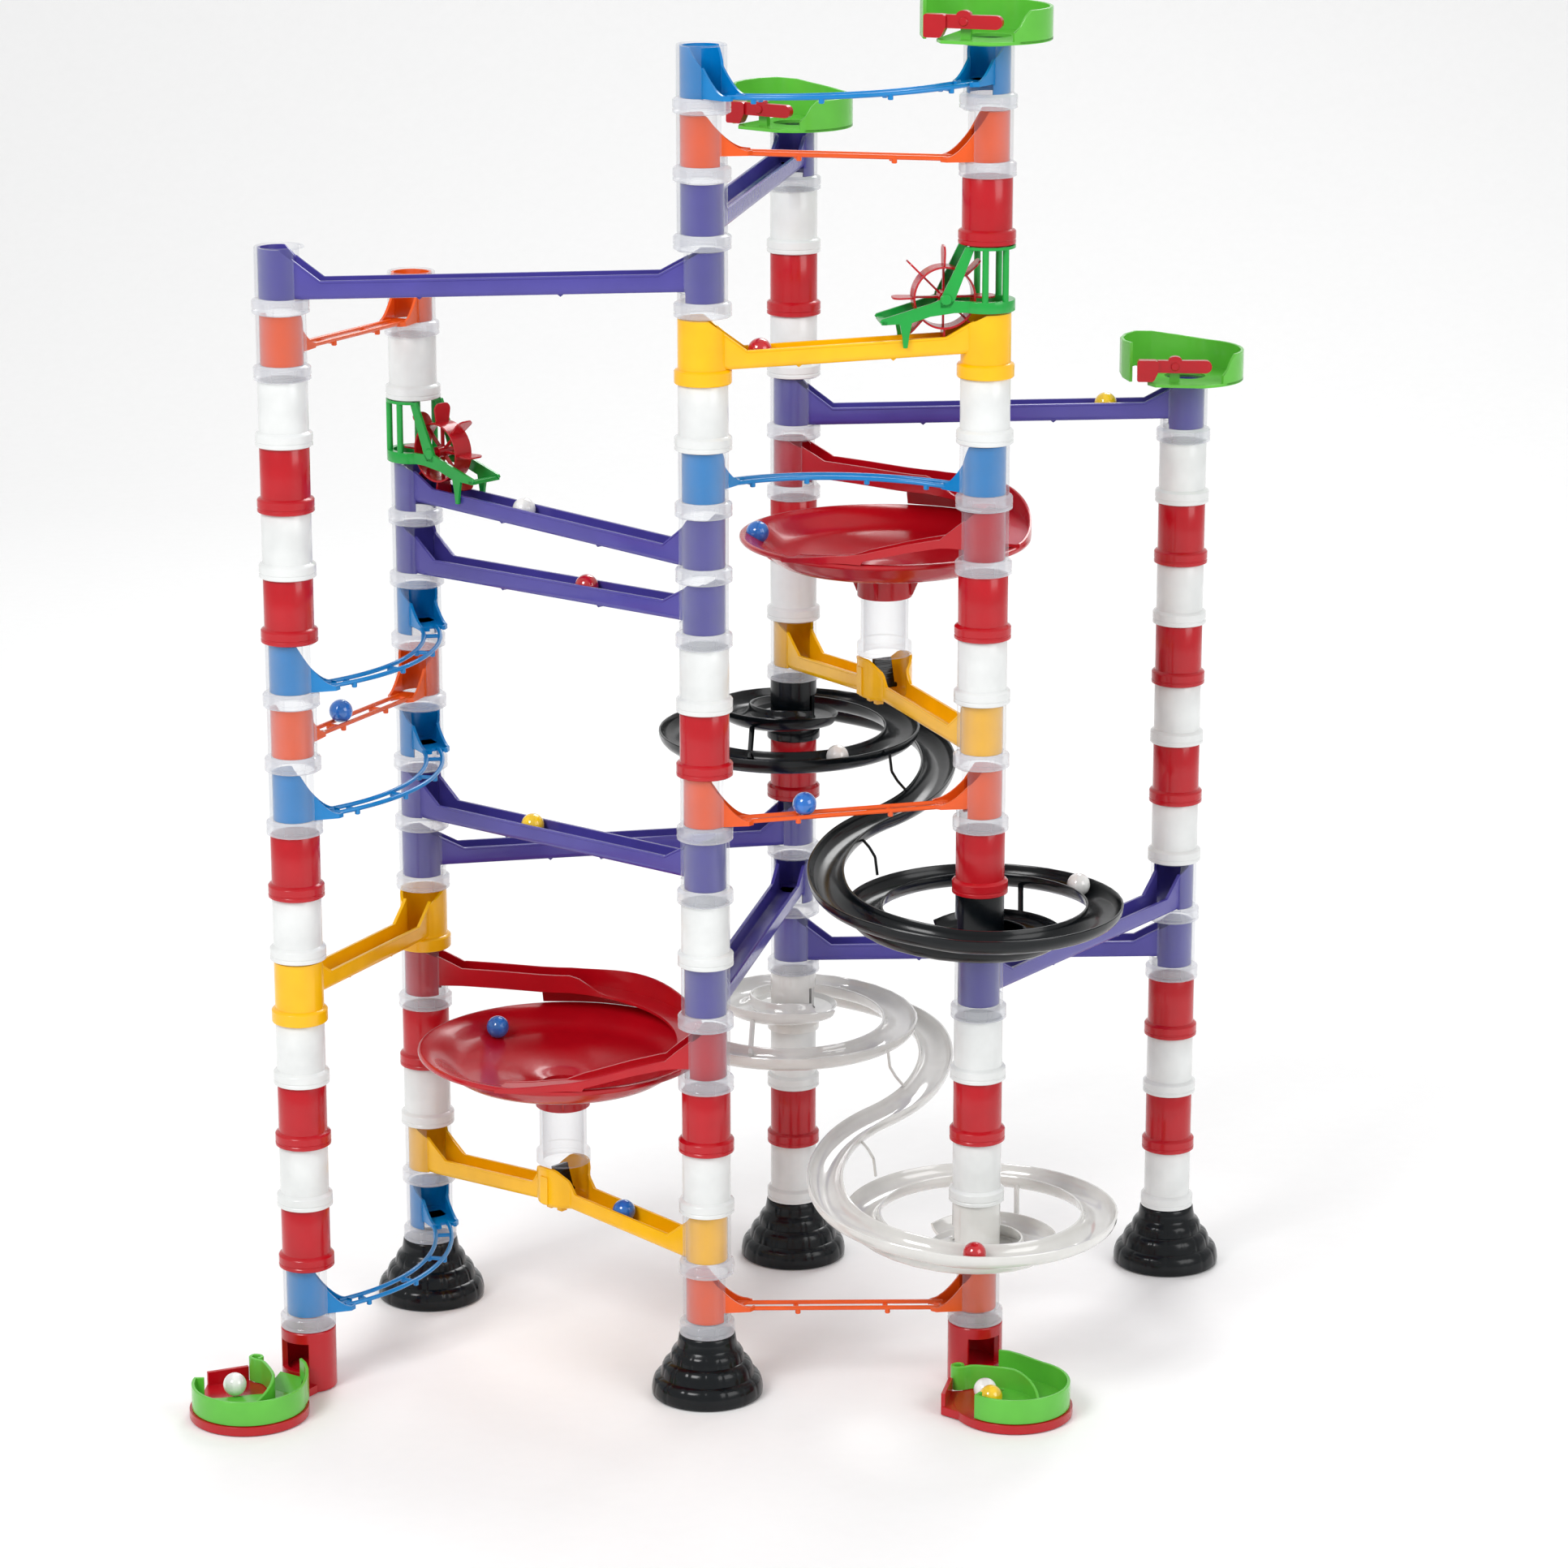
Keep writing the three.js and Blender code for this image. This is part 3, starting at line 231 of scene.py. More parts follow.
def marble_glass(name, colour):
    """Glossy marble with a soft swirl."""
    material, nodes, links, shader = base_material(name)
    place = nodes.new("ShaderNodeTexCoord")
    swirl = nodes.new("ShaderNodeTexWave")
    settings(swirl, {"Scale": 35.0, "Distortion": 3.0, "Detail": 2.0})
    links.new(place.outputs["Object"], swirl.inputs["Vector"])
    two_tints(nodes, links, shader, swirl, colour, 0.9, 1.05)
    links.new(vary(nodes, links, swirl.outputs["Fac"], 0.04, 0.1), shader.inputs["Roughness"])
    settings(shader, {"Coat Weight": 1.0, "Coat Roughness": 0.02})
    return material


MATERIAL = {
    "clear": clear_plastic("clear_tube", srgb(186, 192, 204), 0.04, 0.42),
    "purple": moulded_plastic("purple_plastic", srgb(74, 67, 152)),
    "orange": moulded_plastic("orange_plastic", srgb(232, 88, 22)),
    "blue": moulded_plastic("blue_plastic", srgb(0, 126, 196)),
    "yellow": moulded_plastic("yellow_plastic", srgb(252, 188, 0), glow=0.03),
    "red": moulded_plastic("red_plastic", srgb(182, 8, 24)),
    "white": moulded_plastic("white_plastic", srgb(226, 228, 227), glow=0.03),
    "collar": clear_plastic("clear_collar", srgb(222, 225, 232), 0.3, 0.6),
    "milky": clear_plastic("milky_plastic", srgb(226, 225, 221), 0.93, 0.99),
    "tray_green": moulded_plastic("tray_green_plastic", srgb(96, 190, 62)),
    "bracket_green": moulded_plastic("bracket_green_plastic", srgb(22, 160, 62)),
    "black": moulded_plastic("black_plastic", srgb(5, 10, 14), rough=0.2, coat=0.1, shine=0.28),
    "marble_red": marble_glass("marble_red_glass", srgb(196, 24, 34)),
    "marble_white": marble_glass("marble_white_glass", srgb(238, 238, 236)),
    "marble_blue": marble_glass("marble_blue_glass", srgb(20, 110, 200)),
    "marble_yellow": marble_glass("marble_yellow_glass", srgb(250, 205, 20)),
}


def link_object(name, data):
    made = bpy.data.objects.new(name, data)
    bpy.context.scene.collection.objects.link(made)
    return made


def add_to_model(name, mesh, material, body, nodes):
    """Makes the object of a finished mesh, and says what it rides on and stands for."""
    mesh.materials.append(MATERIAL[material])
    mesh.polygons.foreach_set("use_smooth", [True] * len(mesh.polygons))
    made = link_object(name, mesh)
    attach(made, body)
    if nodes:
        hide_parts(*nodes)
    return made


# ---- mesh building ----

class Piece:
    """Collects closed shapes in millimetres and turns them into one named object."""

    def __init__(self):
        self.points = []
        self.faces = []
        self.place = Matrix.Identity(4)

    def put(self, x=0.0, y=0.0, z=0.0, turn=0.0):
        """Shapes added from now on are turned about Z and then moved."""
        self.place = Matrix.Translation((x, y, z)) @ Matrix.Rotation(math.radians(turn), 4, "Z")
        return self

    def add(self, points, faces):
        start = len(self.points)
        self.points += [self.place @ Vector(point) for point in points]
        self.faces += [[start + corner for corner in face] for face in faces]

    def loft(self, rings, closed=False):
        """Skin through rings of equal length; the ends are capped unless the loft closes on itself."""
        count = len(rings[0])
        points = [point for ring in rings for point in ring]
        faces = []
        for i in range(len(rings) if closed else len(rings) - 1):
            a, b = i * count, (i + 1) % len(rings) * count
            for k in range(count):
                n = (k + 1) % count
                faces.append([a + k, a + n, b + n, b + k])
        if not closed:
            faces.append(list(range(count))[::-1])
            faces.append([len(points) - count + k for k in range(count)])
        self.add(points, faces)

    def lathe(self, profile, sides=64, wobble=None):
        """A closed profile of (r, z) turned about Z; wobble(angle, r, z) may change the radius."""
        rings = []
        for i in range(sides):
            angle = 2 * math.pi * i / sides
            ring = []
            for r, z in profile:
                reach = wobble(angle, r, z) if wobble else r
                ring.append((reach * math.cos(angle), reach * math.sin(angle), z))
            rings.append(ring[::-1])
        self.loft(rings, closed=True)

    def sweep(self, path, section_at):
        """A section kept upright along a path of (x, y, z); section_at(i) gives (left, up) points."""
        rings = []
        for i, (x, y, z) in enumerate(path):
            before, after = path[max(i - 1, 0)], path[min(i + 1, len(path) - 1)]
            along = Vector((after[0] - before[0], after[1] - before[1])).normalized()
            rings.append([(x - along.y * u, y + along.x * u, z + v) for u, v in section_at(i)])
        self.loft(rings)

    def prism(self, outline, low, high):
        """An upright prism on a plan outline."""
        self.loft([[(x, y, z) for x, y in outline] for z in (low, high)])

    def plate(self, outline, y0, y1):
        """A plate standing on edge: its outline is (x, z)."""
        self.loft([[(x, y, z) for x, z in outline] for y in (y1, y0)])

    def box(self, x0, x1, y0, y1, z0, z1):
        self.prism([(x0, y0), (x1, y0), (x1, y1), (x0, y1)], z0, z1)

    def rod(self, start, end, radius, sides=16):
        """A round bar between two points, with slightly rounded ends."""
        axis = Vector(end) - Vector(start)
        length = axis.length
        turn = axis.to_track_quat("Z", "Y").to_matrix()
        slope = radius * 0.2
        ends = ((0, radius * 0.8), (slope, radius), (length - slope, radius), (length, radius * 0.8))
        rings = []
        for along, r in ends:
            rings.append([Vector(start) + turn @ Vector((x, y, along)) for x, y in circle(r, sides)])
        self.loft(rings)

    def wall(self, outer, inner_r, openings=(), top=None, sides=48):
        """A round wall from a list of (z, radius), with openings (heading, half width, low, high)."""
        levels = {z for z, _ in outer}
        for _, _, low, high in openings:
            levels |= {z for z in (low, high) if outer[0][0] < z < outer[-1][0]}
        levels = sorted(levels)
        spans = []
        for turn, half, low, high in openings:
            reach = math.degrees(math.asin(half / inner_r))
            spans.append((turn - reach, turn + reach, low, high))
        edges = sorted({round(edge % 360, 4) for first, last, _, _ in spans for edge in (first, last)})
        step = 360 / sides

        def clear_of_edges(angle):
            gaps = [abs(angle - edge) for edge in edges]
            return all(min(gap, 360 - gap) > step * 0.3 for gap in gaps)

        angles = sorted([k * step for k in range(sides) if clear_of_edges(k * step)] + edges)
        count = len(angles)

        def open_cell(i, k):
            if i < 0 or i >= len(levels) - 1:
                return True
            height = (levels[i] + levels[i + 1]) / 2
            nxt = angles[(k + 1) % count] + (360 if k % count == count - 1 else 0)
            centre = (angles[k % count] + nxt) / 2
            return any((centre - first) % 360 < (last - first) and low < height < high
                       for first, last, low, high in spans)

        points, faces = [], []
        for z in levels:
            for angle in angles:
                for radius in (at(outer, z), inner_r):
                    x, y = polar(radius, angle)
                    points.append((x, y, top(z, angle) if top else z))

        def corner(i, k, inner):
            return (i * count + k % count) * 2 + inner

        for i in range(len(levels) - 1):
            for k in range(count):
                if open_cell(i, k):
                    continue
                a, b = corner(i, k, 0), corner(i, k + 1, 0)
                c, d = corner(i + 1, k + 1, 0), corner(i + 1, k, 0)
                faces.append([a, b, c, d])
                faces.append([d + 1, c + 1, b + 1, a + 1])
                if open_cell(i - 1, k):
                    faces.append([a, a + 1, b + 1, b])
                if open_cell(i + 1, k):
                    faces.append([d, c, c + 1, d + 1])
                if open_cell(i, k - 1):
                    faces.append([a, d, d + 1, a + 1])
                if open_cell(i, k + 1):
                    faces.append([b, b + 1, c + 1, c])
        self.add(points, faces)

    def build(self, name, material, body="frame", nodes=(), bevel=0.35, sharp=32):
        mesh = bpy.data.meshes.new(name)
        mesh.from_pydata([point * MM for point in self.points], [], self.faces)
        work = bmesh.new()
        work.from_mesh(mesh)
        bmesh.ops.delete(work, geom=[v for v in work.verts if not v.link_faces], context="VERTS")
        bmesh.ops.recalc_face_normals(work, faces=work.faces)
        work.to_mesh(mesh)
        work.free()
        made = add_to_model(name, mesh, material, body, nodes)
        mesh.set_sharp_from_angle(angle=math.radians(sharp))
        if bevel:
            edge = made.modifiers.new("edges", "BEVEL")
            edge.width = bevel * MM
            edge.segments = 2
            edge.limit_method = "ANGLE"
            edge.angle_limit = math.radians(38)
            edge.harden_normals = True
        return made


# ---- what joins the towers ----

# Each rail runs downhill from its first tower to its second one: DC18 is D to C at level 18.
RAILS = {
    ("trough", "purple"): "DC18 CA17 FD14 BC13 CB12 CB8 BD7 DC6 EF6 FD5",
    ("trough", "yellow"): "EC16 AB6",
    ("wires", "orange"): "CE19 AB16 AB10 EC9 CE1",
    ("curve", "blue"): "EC20 CE14 BA11 BA9 BA1",
}
FORKS = [("D", "E", 10), ("B", "C", 2)]
FUNNELS = [("D", "E", 13), ("B", "C", 5)]
SPIRALS = [("black_spiral", "black", 9), ("white_spiral", "milky", 4)]
WHEELS = [("E", 17), ("B", 14)]
WHEEL_RAILS = {("E", 16), ("B", 13)}
ARM_TURN = math.degrees(math.asin(ARM_R / (span("D", "E") / 2)))
HUB_TURN = 52.0

openings = {}   # (tower, level) -> openings in that tube's wall


def open_wall(tower, level, turn, low, high, half=CHANNEL_OUT + 0.4):
    openings.setdefault((tower, level), []).append((turn % 360, half, low, high))


# ---- rails ----

def trough_section(height, half_in=CHANNEL_IN, lip=0.5):
    """Half-round-cornered channel with a bead along each rim."""
    out = half_in + CHANNEL_OUT - CHANNEL_IN
    right = [
        (0, 0), (out - 3.2, 0), (out - 1.4, 0.5), (out - 0.3, 1.8), (out, 3.4), (out, height - 1.5),
        (out + lip, height - 1.1), (out + lip, height - 0.2), (out + lip - 0.4, height),
        (half_in + 0.2, height), (half_in, height - 0.3), (half_in, 4.0), (half_in - 0.7, 2.5),
        (half_in - 2.0, FLOOR_T), (0, FLOOR_T),
    ]
    return mirrored(right)


def under(x, length, high=HIGH_UNDER, low=LOW_UNDER):
    """Height of a sloping rail at x along it; it is level inside the two towers."""
    share = min(max((x - TUBE_R) / (length - 2 * TUBE_R), 0), 1)
    return high + (low - high) * share


def slant_top(x, rim, reach=GUSSET_END, power=1.0):
    """Height of the slanted edge that runs down from the top of a sleeve to a rail's rim."""
    share = min(max((reach - x) / (reach - 1.5), 0), 1)
    return rim + (SLEEVE_TOP - rim) * share ** power


def sleeve(piece, turn, floor_z, rim, yellow=False, reach=GUSSET_END, power=1.0):
    """The sleeve at one end of a rail; its top slants down towards the doorway."""
    low = floor_z + 4

    def slanted(z, angle):
        if z < low:
            return z
        x = SLEEVE_OUT * math.cos(math.radians(angle - turn))
        high = slant_top(x, rim, reach, power)
        return low + (z - low) * (high - low) / (SLEEVE_TOP - low)

    if yellow:
        door = [(turn % 360, CHANNEL_IN, floor_z + FLOOR_T, 60)]
        outline = [(0.3, 16.2), (0.9, COLLAR_R), (7.4, COLLAR_R), (8.2, 16.0), (8.8, TUBE_R), (low, TUBE_R),
                   (28, TUBE_R), (SLEEVE_TOP, TUBE_R)]
        piece.wall(outline, BORE_R, door, slanted)
    else:
        door = [(turn % 360, CHANNEL_IN, -10, 60)]
        outline = [(8.6, SLEEVE_OUT - 0.3), (9.0, SLEEVE_OUT), (low, SLEEVE_OUT), (28, SLEEVE_OUT),
                   (SLEEVE_TOP, SLEEVE_OUT)]
        piece.wall(outline, SLEEVE_IN, door, slanted)


def closed_floor(piece, z, yellow):
    radius = (BORE_R if yellow else SLEEVE_IN) + 0.5
    piece.prism(circle(radius, 48), z, z + FLOOR_T)


def gusset(x, length, under_near):
    """How far the walls stand above the rim near a tower."""
    rim = under_near + WALL_H
    return slant_top(min(x, length - x), rim, GUSSET_END + 3) - rim


def rail_ends(a, b, level):
    """The part of a rail's name that says which towers it joins."""
    return f"{a}{level}_to_{b}{level}".lower()


# Stations along the first part of a rail, measured from the tower's axis.
NEAR_TOWER = [8.6, 11, 13, TUBE_R, 16, 18, 20, 22, 23.5, 24.5, 27]


def make_trough(colour, a, b, level):
    length, turn = span(a, b), heading(a, b)
    yellow = colour == "yellow"
    piece = Piece().put(*TOWER[a], level_z(level), turn)
    stations = NEAR_TOWER + [length / 2] + [length - x for x in NEAR_TOWER[::-1]]
    path = [(x, 0, under(x, length)) for x in stations]

    def section(i):
        x = stations[i]
        end = HIGH_UNDER if x < length / 2 else LOW_UNDER
        return trough_section(WALL_H + gusset(x, length, end))

    piece.sweep(path, section)
    closed_floor(piece, HIGH_UNDER, yellow)
    piece.box(0, 9.5, -CHANNEL_IN, CHANNEL_IN, HIGH_UNDER, HIGH_UNDER + FLOOR_T)
    sleeve(piece, 0, HIGH_UNDER, HIGH_UNDER + WALL_H, yellow)
    for share in (1 / 3, 2 / 3):
        x = length * share
        rib = under(x, length)
        piece.plate([(x - 2.2, rib + 0.4), (x, rib - 1.3), (x + 2.2, rib + 0.4)], -5.5, 5.5)
    piece.put(*TOWER[b], level_z(level), turn)
    sleeve(piece, 180, LOW_UNDER, LOW_UNDER + WALL_H, yellow)
    if not yellow:
        high = PITCH + 2 if (a, level) in WHEEL_RAILS else SLEEVE_TOP
        open_wall(a, level, turn, HIGH_UNDER - 0.5, high)
        open_wall(b, level, turn + 180, LOW_UNDER - 0.4, SLEEVE_TOP)
    ends = rail_ends(a, b, level)
    piece.build(f"{colour}_rail_{ends}", colour, nodes=[f"rail_{colour}_{ends}"], bevel=0)


def wire_root(piece, centre, is_high):
    """Pointed gusset walls and a short floor where wires meet a sleeve; x runs out from the tower."""
    low, rim = centre - WIRE_R, centre + WIRE_R
    xs = [8.6, 10, 12, TUBE_R, 17, 19, 21, 23, WIRE_REACH]
    edge = [(x, slant_top(x, rim, WIRE_REACH, WIRE_CURVE)) for x in xs]
    walls = [(x, 7.2, 8.8, top) for x, top in edge] + [(28, WIRE_OFF - 0.8, WIRE_OFF + 1.2, rim)]
    for side in (-1, 1):
        rings = []
        for x, near, far, top in walls:
            corners = ((near, low), (far, low), (far, top), (near, top))
            rings.append([(x, side * y, z) for y, z in corners][::-side])
        piece.loft(rings)
    start = 0 if is_high else 9.6
    piece.prism([(start, -7.3), (WIRE_REACH, -7.3), (27, -WIRE_OFF), (22, -2.0), (22, 2.0), (27, WIRE_OFF),
                 (WIRE_REACH, 7.3), (start, 7.3)], low, low + FLOOR_T)


def make_wires(colour, a, b, level, curved):
    length, turn = span(a, b), heading(a, b)
    bend = WIRE_TURN if curved else 0.0
    radius = length / 2 / math.sin(math.radians(bend)) if curved else 0.0
    piece = Piece().put(*TOWER[a], level_z(level), turn)

    def place(share, offset, lift=0.0):
        z = under(length * share, length, WIRE_HIGH, WIRE_LOW) + lift
        if not curved:
            return (length * share, offset, z)
        across, along = polar(radius + offset, bend * (1 - 2 * share))
        return (length / 2 - along, across - radius * math.cos(math.radians(bend)), z)

    first = 19 / length
    steps = 40 if curved else 12
    shares = [first + (1 - 2 * first) * i / steps for i in range(steps + 1)]
    for side in (-1, 1):
        piece.sweep([place(s, side * WIRE_OFF) for s in shares], lambda i: circle(WIRE_R, 12))
    for share in ((0.2, 0.4, 0.6, 0.8) if curved else (1 / 3, 2 / 3)):
        ends = [Vector(place(share, side * (WIRE_OFF + 0.6), -1.4)) for side in (-1, 1)]
        piece.rod(ends[0], ends[1], 1.2)
        for side in (-1, 1):
            x, y, z = place(share, side * WIRE_OFF)
            piece.rod((x, y, z - 3.4), (x, y, z), 1.6)
    piece.put(*TOWER[a], level_z(level), turn + bend)
    wire_root(piece, WIRE_HIGH, True)
    closed_floor(piece, WIRE_HIGH - WIRE_R, False)
    sleeve(piece, 0, WIRE_HIGH, WIRE_HIGH + WIRE_R, reach=WIRE_REACH, power=WIRE_CURVE)
    piece.put(*TOWER[b], level_z(level), turn + 180 - bend)
    wire_root(piece, WIRE_LOW, False)
    sleeve(piece, 0, WIRE_LOW, WIRE_LOW + WIRE_R, reach=WIRE_REACH, power=WIRE_CURVE)
    open_wall(a, level, turn + bend, WIRE_HIGH - 2, SLEEVE_TOP)
    open_wall(b, level, turn + 180 - bend, WIRE_LOW - 2, SLEEVE_TOP)
    ends = rail_ends(a, b, level)
    piece.build(f"{colour}_rail_{ends}", colour, nodes=[f"rail_{colour}_{ends}"], bevel=0)


for (kind, colour), runs in RAILS.items():
    for run in runs.split():
        a, b, level = run[0], run[1], int(run[2:])
        if kind == "trough":
            make_trough(colour, a, b, level)
        else:
            make_wires(colour, a, b, level, kind == "curve")


# ---- forks, flaps and drop tubes ----

def make_fork(a, b, level):
    length, turn = span(a, b), heading(a, b)
    middle = length / 2
    piece = Piece().put(*TOWER[a], level_z(level), turn)
    to_middle = [30, 19, 18, 16.6, 15.4, 14.4, 13, 11, 8, 6, 3, 0]
    left = NEAR_TOWER + [60] + [middle - x for x in to_middle]
    stations = left + [length - x for x in left[:-1][::-1]]

    def floor_z(x):
        share = min(max((min(x, length - x) - TUBE_R) / (middle - TUBE_R), 0), 1)
        return LOW_UNDER + (PEAK - LOW_UNDER) * share

    cheek = SEAT - PEAK
    rims = [(0, cheek), (7, cheek), (10, cheek - 2.5), (18.5, WALL_H), (middle, WALL_H)]

    def section(i):
        x = stations[i]
        away = abs(x - middle)
        rim = at(rims, away)
        half = CHANNEL_IN
        if away < 14.6:
            half = max(half, math.sqrt(15.2 ** 2 - away ** 2))
        return trough_section(rim + gusset(x, length, LOW_UNDER), half, 0.3)

    piece.sweep([(x, 0, floor_z(x)) for x in stations], section)
    piece.put(*halfway(a, b), level_z(level), turn)
    for side in (-1, 1):
        for x in (-4.5, 4.5):
            piece.box(x - 2, x + 2, *sorted((side * 4, side * 8.5)), PEAK - 4, PEAK + 0.8)
        piece.box(-3, 3, *sorted((side * 15.4, side * 17.4)), PEAK + 2, SEAT - 6)
    piece.put(*TOWER[a], level_z(level), turn)
    sleeve(piece, 0, LOW_UNDER, LOW_UNDER + WALL_H)
    piece.put(*TOWER[b], level_z(level), turn)
    sleeve(piece, 180, LOW_UNDER, LOW_UNDER + WALL_H)
    open_wall(a, level, turn, LOW_UNDER - 0.4, SLEEVE_TOP)
    open_wall(b, level, turn + 180, LOW_UNDER - 0.4, SLEEVE_TOP)
    ends = rail_ends(a, b, level)
    piece.build(f"yellow_fork_{ends}", "yellow", nodes=[f"fork_yellow_{ends}"], bevel=0)


def make_flap(a, b, level, body):
    """Wedge paddle on a pin, leaning 12 degrees, with ribs across both faces."""
    piece = Piece().put(*halfway(a, b), level_z(level) + 21.5, heading(a, b))
    piece.place = piece.place @ Matrix.Rotation(math.radians(-12), 4, "Y")
    piece.plate([(-3, -1), (3, -1), (1.2, 17), (-1.2, 17)], -5.9, 5.9)
    for z in range(1, 17, 3):
        half = 3 - 1.8 * (z + 1) / 18
        rib = [(-half - 0.7, z), (half + 0.7, z), (half + 0.5, z + 1.1), (-half - 0.5, z + 1.1)]
        piece.plate(rib, -5.4, 5.4)
    piece.rod((0, -8.4, 0), (0, 8.4, 0), PIN_R)
    node = f"flap_{a}{level}".lower()
    piece.build(f"{node}_paddle", "black", body, [node], bevel=0.25)


for (a, b, level), body in zip(FORKS, ("flap_upper", "flap_lower")):
    make_fork(a, b, level)
    make_flap(a, b, level, body)

TUBE_PROFILE = [
    (0.0, COLLAR_R - 0.7), (0.5, COLLAR_R), (2.0, COLLAR_R), (2.4, COLLAR_R - 0.3), (2.9, COLLAR_R - 0.3),
    (3.3, COLLAR_R), (7.2, COLLAR_R), (7.9, COLLAR_R - 0.5), (8.4, COLLAR_R - 1.4), (8.9, TUBE_R),
    (20, TUBE_R), (PITCH - 0.8, TUBE_R), (PITCH - 0.15, TUBE_R - 0.4),
]


def make_drop_tube(a, b, level):
    piece = Piece().put(*halfway(a, b), level_z(level) - 74)
    piece.wall(TUBE_PROFILE[:-2] + [(46, TUBE_R), (46.5, TUBE_R - 0.3)], BORE_R)
    name = f"drop_tube_{a}{level}".lower()
    piece.build(f"clear_{name}", "clear", nodes=[name], bevel=0)


# ---- funnels ----

BOWL_R = FUNNEL_R - 2.4         # inner edge of the rim
SOCKET_IN, SOCKET_OUT = 12.8, 16.6


def funnel_profile():
    """Inside of the bowl, socket for the drop tube, outside of the bowl, then the rolled rim."""
    inside = [(BOWL_R, 0.0)]
    for k in range(1, 25):
        share = k / 24
        drop = 9.0 * ease(share * 3.2) + 13.0 * share ** 1.35 + 1.2 * ease((share - 0.9) * 10)
        inside.append((BOWL_R + (SOCKET_IN - BOWL_R) * share, -drop))
    socket = [(SOCKET_IN, -26.9), (14.9, -27.1), (14.9, -37.8), (15.4, -38.0), (16.2, -38.0),
              (SOCKET_OUT, -37.6), (SOCKET_OUT, -26.0)]
    outside = []
    for k in range(21):
        share = 1 - k / 20
        radius = SOCKET_OUT + (FUNNEL_R - 2.2 - SOCKET_OUT) * k / 20
        outside.append((radius, -13.0 * ease(share * 3.0) - 11.2 * share ** 1.3 - 0.8))
    rim = [(-0.8, -3.2), (0, -2.2), (0.2, -1.2), (0, -0.3), (-0.6, 0.1), (-1.8, 0.2)]
    return inside + socket + outside + [(FUNNEL_R + r, z) for r, z in rim]


def make_funnel(a, b, level):
    turn = heading(a, b)
    piece = Piece().put(*halfway(a, b), level_z(level), turn)
    piece.lathe(funnel_profile(), 128)
    for k in range(4):
        piece.put(*halfway(a, b), level_z(level), turn + 45 + 90 * k)
        piece.plate([(16.2, -37.0), (17.6, -36.0), (22.5, -24.6), (16.2, -24.6)], -0.7, 0.7)
    for tower, base_turn, is_inlet in ((a, turn, True), (b, turn + 180, False)):
        piece.put(*TOWER[tower], level_z(level), base_turn)
        piece.sweep(*funnel_arm(span(a, b) / 2, is_inlet))
        if is_inlet:
            closed_floor(piece, ARM_FLOOR, False)
        sleeve(piece, ARM_TURN, ARM_FLOOR, 26 if is_inlet else 20)
        open_wall(tower, level, base_turn + ARM_TURN, ARM_FLOOR - 0.6, SLEEVE_TOP)
    ends = rail_ends(a, b, level)
    piece.build(f"red_funnel_{ends}", "red", nodes=[f"funnel_{ends}"], bevel=0, sharp=40)


def funnel_arm(reach, is_inlet):
    """Path and sections of an arm: the inlet's outer wall runs on round the rim, the support's is low."""
    path, tops, drops, inner = [], [], [], []
    straight = reach * math.cos(math.radians(ARM_TURN))
    near = (8.6, 11, 13, 14.5, 16, 18, 20, 22, 24, 26, 45)
    for s in near + (straight - 19, straight - 17.9, straight - 8):
        share = ease((s - ARM_FLOOR) / (straight - ARM_FLOOR))
        if is_inlet:
            z = ARM_FLOOR - 4.2 * share
            top = slant_top(s, 26, 24) - ARM_FLOOR + 0.3
            low_wall = top
        else:
            z = ARM_FLOOR - 14.8 * share
            top = slant_top(s, 20, 24) - ARM_FLOOR - share
            fade = ease((s - straight + 19) / 11)
            low_wall = top if s < straight - 19 else max(top - 3.0 * fade, 2.0)
        path.append((*polar(s, ARM_TURN), z))
        tops.append(top)
        drops.append(0.4 - z if s > straight - 18 else 0.0)
        inner.append(low_wall)
    for k in range(21 if is_inlet else 6):
        x, y = polar(ARM_R, ARM_TURN + 90 - k * 4.7)
        share = k / 20
        if is_inlet:
            z = 10.8 - 10.9 * share
            tops.append(11.3 + 3.2 * ease(share * 3) - 12.6 * ease((share - 0.35) / 0.65))
            drops.append(0.4 - z)
            inner.append(11.3 - 9.3 * ease(share * 5))
        else:
            z = -0.7 * k
            tops.append(4.0 - 0.3 * k)
            drops.append(0.0)
            inner.append(2.0)
        path.append((reach + x, y, z))

    def section(i):
        top, low, right = max(tops[i], 2.1), min(drops[i], 0.0), max(inner[i], 2.0)
        return [(-8.9, 0.3), (-8.9, right), (-7.3, right), (-7.3, 1.8), (7.3, 1.8), (7.3, top),
                (8.0, top + 0.3), (8.9, top), (8.9, low), (7.3, low), (7.3, 0.0), (-8.5, 0.0)]

    return path, section


for a, b, level in FUNNELS:
    make_funnel(a, b, level)
    make_drop_tube(a, b, level)


# ---- spirals ----

# Turn from the heading to the other tower, radius from the tower, underside above the hub's level.
SPIRAL_PATH = [
    (16, 27, 12), (-52, 31, 11), (-119, 37, 10), (-209, 52, 6), (-299, 68, 0), (-344, 72.5, -2.5),
    (-389, 74, -4), (-450, 74, -4.7), (-510, 74, -5.3), (-570, 74.5, -6.2), (-595, 77, -9),
    (-620, 82.5, -12), (-642, 87, -15), (-664, 91.5, -19), (-686, 99.5, -23),
    (-706, 111, -27.4), (-720, 120.5, -30),
]
SPIRAL_LOW = -60.0   # the lower half mirrors the upper one; their undersides add up to this


